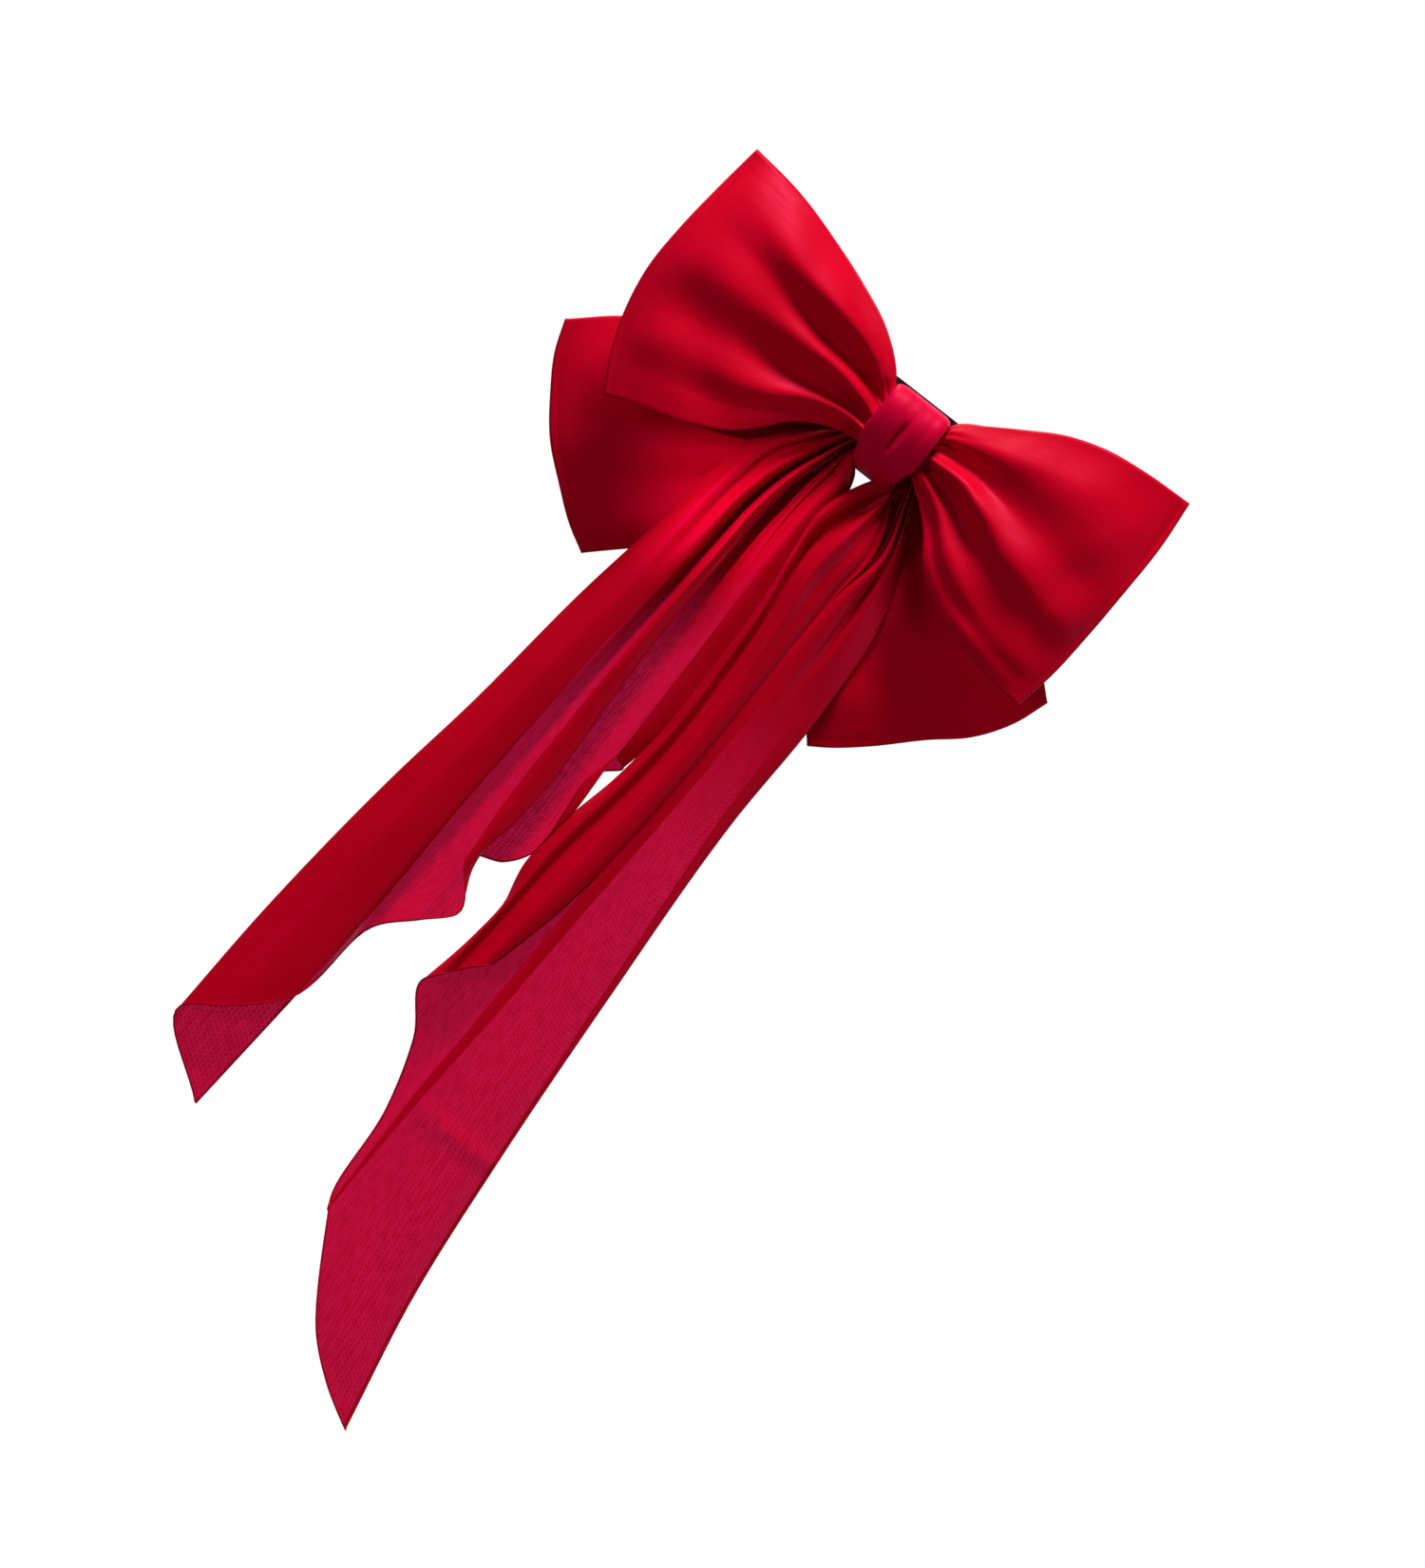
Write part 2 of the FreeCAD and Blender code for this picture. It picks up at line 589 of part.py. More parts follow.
def solid_between(outer, inner):
    """A closed solid between two skins whose grids of points run the same way."""
    faces = [skin(outer), skin(inner)]
    edges = zip(faces[0].Edges, faces[1].Edges)
    faces += [Part.makeRuledSurface(one, other) for one, other in edges]
    shell = Part.makeShell(faces)
    shell.sewShape()
    solid = Part.Solid(shell)
    if solid.Volume < 0:
        solid.reverse()
    return solid


def wing(bow, side):
    """The sizes of one wing of a bow, in the wing's own level frame."""
    prefix = "%s_%s_" % (bow, side)
    names = ("top_reach", "reach", "low_reach", "top", "low")
    return {name: size(prefix + name) for name in names}


def wing_reach(sizes, up, wall):
    """How far the fold of a wing is from the middle, at a height from 0 (low edge) to 1 (top)."""
    low, middle, top = sizes["low_reach"], sizes["reach"], sizes["top_reach"]
    curve = low * (1 - up) * (1 - 2 * up) + 4 * middle * up * (1 - up) + top * up * (2 * up - 1)
    return curve - wall


def ribbon_point(bow, wings, turn, up, wall):
    """A point of a loop of ribbon: turn goes round the loop from behind, up goes across it.

    The loop is an ellipse seen from above, pinched in the knot and puffed out in each wing. The
    wings flare from the height of the pinch to their own height, and may droop about the knot.
    """
    side = "right" if math.sin(turn) > 0 else "left"
    sizes = wings[side]
    out = abs(math.sin(turn))
    reach = wing_reach(sizes, up, wall) * out
    pinch_z, pinch_half = size(bow + "_pinch_z"), size(bow + "_pinch_half")
    top = pinch_z + pinch_half
    top += (sizes["top"] - top) * share(reach, "flare_from", "flare_full") ** TOP_FLARE
    low = pinch_z - pinch_half
    low += (sizes["low"] - low) * share(reach, "flare_from", "flare_full") ** LOW_FLARE
    height = low + up * (top - low)
    puff = smooth((reach - size("puff_from")) / (size("puff_full") - size("puff_from")))
    thread = size("binding_thick") + size("fit_gap")
    pinch_depth = size(bow + "_pinch") / 2 - thread
    depth = pinch_depth + (size(bow + "_half_depth") - pinch_depth) * puff - wall
    y = middle_of(bow) + size(bow + "_lean") * puff - depth * math.cos(turn)
    sign = 1 if side == "right" else -1
    droop = 0
    if bow == "back":
        droop = math.radians(size("back_droop")) * smooth(reach / size("droop_full"))
    away, rise = reach, height - pinch_z
    x = away * math.cos(droop) + rise * math.sin(droop)
    z = rise * math.cos(droop) - away * math.sin(droop)
    return FreeCAD.Vector(sign * x, y, pinch_z + z)


def quarter_turns(start):
    """Angles from near the knot to the fold of a wing, closer together near the knot."""
    shares = [(n / QUARTER_STEPS) ** NEAR_KNOT for n in range(QUARTER_STEPS + 1)]
    return [start + (math.pi / 2 - start) * part for part in shares]


def make_bow(bow):
    """One strip of ribbon in a loop, sewn end to end behind its middle."""
    wings = {side: wing(bow, side) for side in ("left", "right")}
    seam = quarter_turns(math.asin(size("seam_gap") / size(bow + "_left_reach")))
    face = quarter_turns(0)
    turns = [turn - math.pi for turn in seam] + [-turn for turn in face[-2::-1]]
    turns += face[1:] + [math.pi - turn for turn in seam[-2::-1]]
    ups = [n / CROSS_STEPS for n in range(CROSS_STEPS + 1)]
    skins = []
    for wall in (0, size("ribbon_thick")):
        skins.append([[ribbon_point(bow, wings, turn, up, wall) for up in ups] for turn in turns])
    item = doc.addObject("Part::Feature", bow + "_bow")
    item.Shape = solid_between(*skins)
    item.Placement = FreeCAD.Placement()
    return item


# How finely the tails are sampled, and where along a tail, from 0 in the knot to 1 at the cut, it
# reaches its full depth and its cut edge starts to round.
TAIL_STEPS = 24
OPENS_FROM, OPEN_AT = 0.25, 0.55
CUT_ROUNDS_FROM = 0.6


def edge_curve(points):
    curve = Part.BSplineCurve()
    curve.interpolate([FreeCAD.Vector(x, 0, z) for x, z in points])
    return curve


def along(curve, fraction):
    first, last = curve.FirstParameter, curve.LastParameter
    return curve.value(first + (last - first) * fraction)


def tail_rows():
    """Three points across the strip at each station, from the left tail over the knot to the right.

    Each row also says how far down its tail it is, from 0 in the knot to 1 at the cut. The cut of
    the right tail is rounded, so the middle of its last rows is pulled outwards.
    """
    top = (0, size("tail_pinch_top"))
    low = (0, size("tail_pinch_low"))
    round_cut = FreeCAD.Vector(size("right_cut_bulge_x"), 0, size("right_cut_bulge_z"))
    straight_cut = FreeCAD.Vector()
    rows = []
    for outer, inner, bulge, order in (
            (LEFT_OUTER, LEFT_INNER, straight_cut, range(TAIL_STEPS, 0, -1)),
            (RIGHT_OUTER, RIGHT_INNER, round_cut, range(0, TAIL_STEPS + 1))):
        outer_edge = edge_curve([top] + outer)
        inner_edge = edge_curve([low] + inner)
        for station in order:
            down = station / TAIL_STEPS
            ends = along(inner_edge, down), along(outer_edge, down)
            rounding = smooth((down - CUT_ROUNDS_FROM) / (1 - CUT_ROUNDS_FROM))
            middle = (ends[0] + ends[1]) / 2 + bulge * rounding
            rows.append(((ends[0], middle, ends[1]), down))
    return rows


def make_tail_strip():
    """One long strip, gathered in the knot, whose two halves hang down to a slanted cut."""
    pinch = size("tail_pinch") / 2 - size("binding_thick") - size("fit_gap")
    middle = middle_of("tail")
    skins = []
    for side in (-1, 1):
        rows = []
        for points, down in tail_rows():
            opening = smooth((down - OPENS_FROM) / (OPEN_AT - OPENS_FROM))
            depth = pinch + (size("tail_depth") / 2 - pinch) * opening
            shift = FreeCAD.Vector(0, middle + side * depth, 0)
            rows.append([point + shift for point in points])
        skins.append(rows)
    item = doc.addObject("Part::Feature", "tail_strip")
    item.Shape = solid_between(*skins)
    item.Placement = FreeCAD.Placement()
    return item


# ---------------------------------------------------------------- build, check and write

def drill_for_rivets(part, name):
    """Cut the rivets' holes through a part, with a seat for the head where it leans."""
    foot, along_axis = rivet_axis()
    tools = []
    for z in (-1, 1):
        place = foot - along_axis + FreeCAD.Vector(0, 0, z * size("rivet_z"))
        tools.append(Part.makeCylinder(size("rivet_radius"), RIVET_REACH, place, along_axis))
        seat = foot + along_axis * rivet_grip() + FreeCAD.Vector(0, 0, z * size("rivet_z"))
        tools.append(Part.makeCylinder(size("rivet_head_radius"), RIVET_REACH, seat, along_axis))
    holes = doc.addObject("Part::Feature", name + "_rivet_holes")
    holes.Shape = Part.makeCompound(tools)
    drilled = doc.addObject("Part::Cut", name + "_drilled")
    drilled.Base = part
    drilled.Tool = holes
    part.Label = name + "_blank"
    drilled.Label = name
    return drilled


def make_parts():
    upper_prong = make_upper_prong()
    front_z, front_half = size("front_pinch_z"), size("front_pinch_half")
    back_z, back_half = size("back_pinch_z"), size("back_pinch_half")
    tail_z = (size("tail_pinch_top") + size("tail_pinch_low")) / 2
    tail_half = (size("tail_pinch_top") - size("tail_pinch_low")) / 2
    return [
        make_bow("front"),
        make_bow("back"),
        make_tail_strip(),
        make_knot_band(),
        make_binding("front_binding", "front", front_z, front_half),
        make_binding("back_binding", "back", back_z, back_half),
        make_binding("tail_binding", "tail", tail_z, tail_half),
        make_glue_pad(),
        drill_for_rivets(make_top_plate(), "top_plate"),
        make_hinge_pin(),
        make_clasp_arm(),
        make_tension_bar(),
        drill_for_rivets(make_catch_base(), "catch_base"),
        make_catch_rivets(),
        upper_prong,
        make_lower_prong(upper_prong),
    ]


def check_and_export(parts):
    """Stop on any failed object or bad shape, then write one STEP file for each part."""
    doc.recompute()
    for item in doc.Objects:
        if "Invalid" in item.State or "Error" in item.State:
            raise RuntimeError(item.Name + " failed: " + str(item.State))
    os.makedirs("parts", exist_ok=True)
    for item in parts:
        if item.Shape.isNull() or not item.Shape.isValid() or not item.Shape.Solids:
            raise RuntimeError(item.Label + " has no valid solid")
        item.Shape.exportStep(os.path.join("parts", item.Label + ".step"))
        box = item.Shape.BoundBox
        print("%-20s %9.1f mm3  x %7.2f %7.2f  y %7.2f %7.2f  z %7.2f %7.2f" % (
            item.Label, item.Shape.Volume, box.XMin, box.XMax, box.YMin, box.YMax, box.ZMin, box.ZMax))


fill_sheet()
check_and_export(make_parts())
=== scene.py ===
import math

import bpy
import numpy as np
from mathutils import Matrix, Vector


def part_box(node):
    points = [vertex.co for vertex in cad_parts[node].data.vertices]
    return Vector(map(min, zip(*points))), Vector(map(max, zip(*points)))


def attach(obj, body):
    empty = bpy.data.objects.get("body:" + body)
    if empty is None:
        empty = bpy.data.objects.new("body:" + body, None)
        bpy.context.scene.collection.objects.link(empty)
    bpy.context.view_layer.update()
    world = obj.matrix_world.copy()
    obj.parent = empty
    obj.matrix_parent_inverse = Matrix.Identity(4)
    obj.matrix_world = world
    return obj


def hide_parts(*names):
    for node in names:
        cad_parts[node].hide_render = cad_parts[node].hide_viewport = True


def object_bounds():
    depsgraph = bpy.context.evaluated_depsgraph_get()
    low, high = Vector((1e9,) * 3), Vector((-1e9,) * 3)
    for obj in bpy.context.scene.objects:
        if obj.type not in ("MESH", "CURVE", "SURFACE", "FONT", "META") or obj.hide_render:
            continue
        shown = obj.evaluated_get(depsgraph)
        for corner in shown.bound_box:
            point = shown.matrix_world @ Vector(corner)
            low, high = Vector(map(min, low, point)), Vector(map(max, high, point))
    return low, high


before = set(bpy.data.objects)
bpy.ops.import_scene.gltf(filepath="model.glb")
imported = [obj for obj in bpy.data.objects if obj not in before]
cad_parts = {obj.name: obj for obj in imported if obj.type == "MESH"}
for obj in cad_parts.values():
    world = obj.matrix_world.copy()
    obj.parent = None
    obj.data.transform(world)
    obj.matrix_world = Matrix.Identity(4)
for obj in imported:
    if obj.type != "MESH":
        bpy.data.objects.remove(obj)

# A red satin hair bow on a French barrette, hung upright. Shapes are written in millimetres, as
# (x, z) seen from the front and y away from the viewer, and become metres when a mesh is made.

MM = 0.001
CAD_LOW, CAD_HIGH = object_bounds()
KNOT_LOW, KNOT_HIGH = (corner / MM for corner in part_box("knot_band"))
KNOT_MIDDLE = (KNOT_LOW + KNOT_HIGH) / 2


# ---------------------------------------------------------------- curves and grids

def ease(amount):
    """Ease from 0 to 1."""
    amount = np.clip(amount, 0.0, 1.0)
    return amount * amount * (3 - 2 * amount)


def rise(place, start, end):
    """0 up to start, 1 from end on, and eased between them."""
    return ease((place - start) / (end - start))


def hermite(points, knots, at):
    """Smooth values through points that stand at knots, for the places in at."""
    slopes = np.gradient(points, knots, axis=0)
    cell = np.clip(np.searchsorted(knots, at, side="right") - 1, 0, len(knots) - 2)
    column = (-1,) + (1,) * (points.ndim - 1)
    width = (knots[cell + 1] - knots[cell]).reshape(column)
    s = (at - knots[cell]).reshape(column) / width
    start, end = points[cell], points[cell + 1]
    leave, arrive = slopes[cell] * width, slopes[cell + 1] * width
    return ((2 * s**3 - 3 * s**2 + 1) * start + (s**3 - 2 * s**2 + s) * leave
            + (3 * s**2 - 2 * s**3) * end + (s**3 - s**2) * arrive)


def spline(points, at):
    """A smooth curve through given points, at fractions of its length."""
    points = np.asarray(points, float)
    gaps = np.linalg.norm(np.diff(points, axis=0), axis=1)
    knots = np.concatenate([[0.0], np.cumsum(gaps)]) / gaps.sum()
    return hermite(points, knots, np.asarray(at, float))


def follow(points, at):
    """The second value of given (place, value) pairs at each place, held level past the ends."""
    places, values = np.asarray(points, float).T
    if len(places) == 1:
        return np.full(at.shape, values[0])
    at = np.clip(at, places[0], places[-1])
    return hermite(values, places, at.ravel()).reshape(at.shape)


def grid_mesh(name, grid, wrap=False):
    """A quad mesh over a grid of points in millimetres, with the cloth's own lengths as its UVs."""
    rows, columns = grid.shape[:2]
    last = rows if wrap else rows - 1
    row, column = np.meshgrid(np.arange(last), np.arange(columns - 1), indexing="ij")
    below = (row + 1) % rows
    corners = [row * columns + column, row * columns + column + 1,
               below * columns + column + 1, below * columns + column]
    faces = np.stack([corner.ravel() for corner in corners], axis=1)
    mesh = bpy.data.meshes.new(name)
    mesh.from_pydata((grid.reshape(-1, 3) * MM).tolist(), [], faces.tolist())
    down = np.linalg.norm(np.diff(grid, axis=0, append=grid[:1]), axis=2).mean(axis=1)
    across = np.linalg.norm(np.diff(grid, axis=1), axis=2).mean(axis=0)
    v_at = np.concatenate([[0.0], np.cumsum(down)]) * MM
    u_at = np.concatenate([[0.0], np.cumsum(across)]) * MM
    u = np.stack([u_at[column], u_at[column + 1], u_at[column + 1], u_at[column]], axis=-1)
    v = np.stack([v_at[row], v_at[row], v_at[row + 1], v_at[row + 1]], axis=-1)
    layer = mesh.uv_layers.new(name="cloth")
    layer.data.foreach_set("uv", np.stack([u, v], axis=-1).astype(np.float32).ravel())
    mesh.polygons.foreach_set("use_smooth", [True] * len(mesh.polygons))
    piece = bpy.data.objects.new(name, mesh)
    bpy.context.scene.collection.objects.link(piece)
    return piece


def join(name, pieces):
    """Join pieces into one mesh object."""
    bpy.ops.object.select_all(action="DESELECT")
    for piece in pieces:
        piece.select_set(True)
    bpy.context.view_layer.objects.active = pieces[0]
    bpy.ops.object.join()
    pieces[0].name = name
    pieces[0].data.name = name
    return pieces[0]


def thicken(piece, thickness):
    """Give a sheet its own thickness, half to each side."""
    solid = piece.modifiers.new("thickness", "SOLIDIFY")
    solid.thickness = thickness * MM
    solid.offset = 0
    return piece


def tube_grid(path, radius, sides=6):
    """A grid for a thin round cord along a path of points in millimetres."""
    forward = np.gradient(path, axis=0)
    forward /= np.linalg.norm(forward, axis=1, keepdims=True)
    side = np.cross(forward, [0.0, 1.0, 0.0])
    side /= np.linalg.norm(side, axis=1, keepdims=True) + 1e-9
    up = np.cross(side, forward)
    angles = np.linspace(0, 2 * math.pi, sides + 1)
    ring = np.cos(angles)[None, :, None] * side[:, None] + np.sin(angles)[None, :, None] * up[:, None]
    return path[:, None] + radius * ring


# ---------------------------------------------------------------- materials

def new_material(name):
    material = bpy.data.materials.new(name)
    material.use_nodes = True
    material.node_tree.nodes.clear()
    return material


def node(material, kind, inputs=None, **settings):
    """Add a node; an input is either a plain value or the socket that feeds it."""
    made = material.node_tree.nodes.new("ShaderNode" + kind)
    for name, setting in settings.items():
        setattr(made, name, setting)
    for name, value in (inputs or {}).items():
        if isinstance(value, bpy.types.NodeSocket):
            material.node_tree.links.new(value, made.inputs[name])
        else:
            made.inputs[name].default_value = value
    return made


def math_node(material, operation, first, second=0.0):
    return node(material, "Math", {0: first, 1: second}, operation=operation).outputs[0]


def mix_colour(material, amount, first, second):
    """The first colour turned into the second by an amount from 0 to 1."""
    made = node(material, "Mix", data_type="RGBA")
    for socket, value in ((made.inputs[0], amount), (made.inputs[6], first), (made.inputs[7], second)):
        if isinstance(value, bpy.types.NodeSocket):
            material.node_tree.links.new(value, socket)
        else:
            socket.default_value = value
    return made.outputs[2]


def output(material, shader):
    node(material, "OutputMaterial", {"Surface": shader})


def bump(material, height, strength, distance):
    """A surface normal bent by a height that reaches a distance in metres."""
    made = node(material, "Bump", {"Height": height, "Strength": strength, "Distance": distance})
    return made.outputs[0]


def wave_scale(pitch):
    """The scale at which a wave texture has a band for each pitch, in metres."""
    radians_in_a_unit = 20
    return 2 * math.pi / radians_in_a_unit / pitch


def cloth_place(material):
    return node(material, "UVMap", uv_map="cloth").outputs[0]


def thread_waves(material, pitch, turn):
    """Bands across the cloth, one for each pitch in metres, turned by an angle in degrees."""
    turned = node(material, "Mapping", {"Vector": cloth_place(material),
                                        "Rotation": (0, 0, math.radians(turn))})
    wave = node(material, "TexWave", {"Vector": turned.outputs[0], "Scale": wave_scale(pitch),
                                      "Distortion": 0.6, "Detail": 1.0, "Detail Scale": 2.0},
                wave_type="BANDS")
    return wave.outputs["Fac"]


def cloth_noise(material, size, detail=3.0, stretch=(1, 1, 1)):
    """Soft noise in the cloth's own plane, with features of about a size in metres."""
    mapped = node(material, "Mapping", {"Vector": cloth_place(material), "Scale": stretch})
    noise = node(material, "TexNoise", {"Vector": mapped.outputs[0], "Scale": 1 / size, "Detail": detail})
    return noise.outputs["Fac"]


def solid_noise(material, scale, detail=2.0):
    """Soft noise in the space of the piece itself."""
    place = node(material, "TexCoord").outputs["Object"]
    return node(material, "TexNoise", {"Vector": place, "Scale": scale, "Detail": detail}).outputs[0]


def ramp(material, value, low, high, to_low=0.0, to_high=1.0):
    """A value that runs from low to high, made to run from to_low to to_high."""
    made = node(material, "MapRange", {"Value": value, "From Min": low, "From Max": high,
                                       "To Min": to_low, "To Max": to_high})
    return made.outputs[0]


PINK = (1.0, 0.0, 0.22, 1)


def satin(name, deep, bright):
    """Heavy satin: long smooth floats one way, a soft pink sheen, and slight unevenness."""
    material = new_material(name)
    patches = ramp(material, cloth_noise(material, 0.03), 0.3, 0.7)
    slubs = ramp(material, cloth_noise(material, 0.0016, stretch=(1, 0.12, 1)), 0.35, 0.75)
    base = mix_colour(material, patches, deep, bright)
    base = mix_colour(material, math_node(material, "MULTIPLY", slubs, 0.18), base, deep)
    floats = thread_waves(material, 0.0005, 90)
    height = math_node(material, "ADD", math_node(material, "MULTIPLY", floats, 0.35), slubs)
    normal = bump(material, height, 0.10, 0.0003)
    rough = ramp(material, slubs, 0, 1, 0.44, 0.56)
    shader = node(material, "BsdfPrincipled", {
        "Base Color": base, "Roughness": rough, "Normal": normal, "IOR": 1.5,
        "Specular IOR Level": 0.22, "Specular Tint": PINK, "Sheen Weight": 0.15,
        "Sheen Roughness": 0.35, "Sheen Tint": PINK})
    output(material, shader.outputs[0])
    return material


def chiffon(name, deep, bright):
    """Sheer satin: the same red, thin enough for one layer to let light and the ground through."""
    material = new_material(name)
    patches = ramp(material, cloth_noise(material, 0.02), 0.3, 0.7)
    base = mix_colour(material, patches, deep, bright)
    weft = thread_waves(material, 0.0011, 90)
    warp = thread_waves(material, 0.0011, 0)
    weave = math_node(material, "MULTIPLY", weft, warp)
    grain = cloth_noise(material, 0.0012, detail=2.0, stretch=(1, 0.35, 1))
    threads = math_node(material, "ADD", math_node(material, "MULTIPLY", weave, 0.5), grain)
    normal = bump(material, threads, 0.12, 0.0003)
    surface = node(material, "BsdfPrincipled", {
        "Base Color": base, "Roughness": 0.48, "Normal": normal, "IOR": 1.5,
        "Specular IOR Level": 0.32, "Specular Tint": PINK, "Sheen Weight": 0.12,
        "Sheen Roughness": 0.4, "Sheen Tint": PINK})
    glow = node(material, "BsdfTranslucent", {"Color": (0.60, 0.002, 0.02, 1)})
    body = node(material, "MixShader", {0: 0.15, 1: surface.outputs[0], 2: glow.outputs[0]})
    clear = node(material, "BsdfTransparent", {"Color": (0.9, 0.02, 0.15, 1)})
    # Gathered cloth near the knot is denser than the cloth that hangs free.
    length = node(material, "SeparateXYZ", {"Vector": cloth_place(material)}).outputs["Y"]
    free = ramp(material, length, 0.07, 0.11)
    openness = math_node(material, "MULTIPLY", free, ramp(material, threads, 0.35, 1.0, 0.28, 0.06))
    mixed = node(material, "MixShader", {0: openness, 1: body.outputs[0], 2: clear.outputs[0]})
    output(material, mixed.outputs[0])
    return material


def enamel(name, colour, roughness):
    """Baked enamel on metal, a little uneven, with finer scratches."""
    material = new_material(name)
    cloud = solid_noise(material, 220.0, 4.0)
    lighter = tuple(min(1, channel * 1.8 + 0.004) for channel in colour[:3]) + (1,)
    base = mix_colour(material, ramp(material, cloud, 0.3, 0.7), colour, lighter)
    normal = bump(material, solid_noise(material, 2600.0), 0.08, 0.0002)
    rough = ramp(material, cloud, 0.3, 0.7, roughness, roughness + 0.12)
    shader = node(material, "BsdfPrincipled", {
        "Base Color": base, "Roughness": rough, "Normal": normal, "Coat Weight": 0.25,
        "Coat Roughness": 0.3})
    output(material, shader.outputs[0])
    return material


def steel(name):
    """Plain steel with a drawn grain."""
    material = new_material(name)
    grain = solid_noise(material, 1500.0, 3.0)
    base = mix_colour(material, grain, (0.30, 0.30, 0.31, 1), (0.50, 0.50, 0.51, 1))
    normal = bump(material, grain, 0.1, 0.0002)
    rough = ramp(material, grain, 0.3, 0.7, 0.28, 0.42)
    shader = node(material, "BsdfPrincipled", {
        "Base Color": base, "Roughness": rough, "Normal": normal, "Metallic": 1.0})
    output(material, shader.outputs[0])
    return material


def thread_turns_painted_groove_shade(name):
    """Turns of red sewing thread laid side by side, with painted shade darkening the grooves between
    turns.
    """
    material = new_material(name)
    place = node(material, "TexCoord").outputs["Object"]
    wave = node(material, "TexWave", {"Vector": place, "Scale": wave_scale(0.0004), "Distortion": 0.8},
                wave_type="BANDS", bands_direction="X").outputs["Fac"]
    # Painted shade: the thread is coloured dark where the bands dip, in the grooves between turns.
    base = mix_colour(material, wave, (0.10, 0.001, 0.006, 1), (0.42, 0.004, 0.03, 1))
    normal = bump(material, wave, 0.6, 0.0003)
    shader = node(material, "BsdfPrincipled", {
        "Base Color": base, "Roughness": 0.6, "Normal": normal, "Sheen Weight": 0.3})
    output(material, shader.outputs[0])
    return material


def hot_glue(name):
    """Hardened glue, milky and slightly wavy."""
    material = new_material(name)
    noise = solid_noise(material, 400.0)
    base = mix_colour(material, noise, (0.34, 0.28, 0.20, 1), (0.48, 0.42, 0.32, 1))
    normal = bump(material, noise, 0.3, 0.0004)
    shader = node(material, "BsdfPrincipled", {
        "Base Color": base, "Roughness": 0.35, "Normal": normal,
        "Subsurface Weight": 0.3, "Subsurface Scale": 0.002})
    output(material, shader.outputs[0])
    return material


# ---------------------------------------------------------------- loops of the bows

# Each wing is outlined by its top edge and low edge, from inside the knot to the corners, and by
# the fold at its outer end, from the low corner to the top one. Across the wing its front layer
# runs over crests and furrows, listed from the low edge (v = 0) to the top edge (v = 1). Each says
# where it lies as (u, v) and how far it stands out as (u, millimetres), with u from 0 in the knot to
# 1 at the outer end.

BACK_FOLDS = [
    ([(0, 0)], [(0, 1), (1, 0.8)]),
    ([(0, 0.15)], [(0, 1.2), (0.3, 3), (0.6, 6), (0.85, 4.5), (1, 0.8)]),
    ([(0, 0.30)], [(0, 0.6), (0.3, 0.8), (0.6, 3.2), (0.85, 3.6), (1, 0.8)]),
    ([(0, 0.45)], [(0, 1.2), (0.3, 3.2), (0.6, 6.5), (0.85, 4.6), (1, 0.8)]),
    ([(0, 0.58)], [(0, 0.6), (0.3, 0.9), (0.6, 3.6), (0.85, 3.8), (1, 0.8)]),
    ([(0, 0.76)], [(0, 1.2), (0.3, 3.2), (0.6, 6), (0.85, 4.2), (1, 0.8)]),
    ([(0, 1)], [(0, 1), (1, 0.8)]),
]

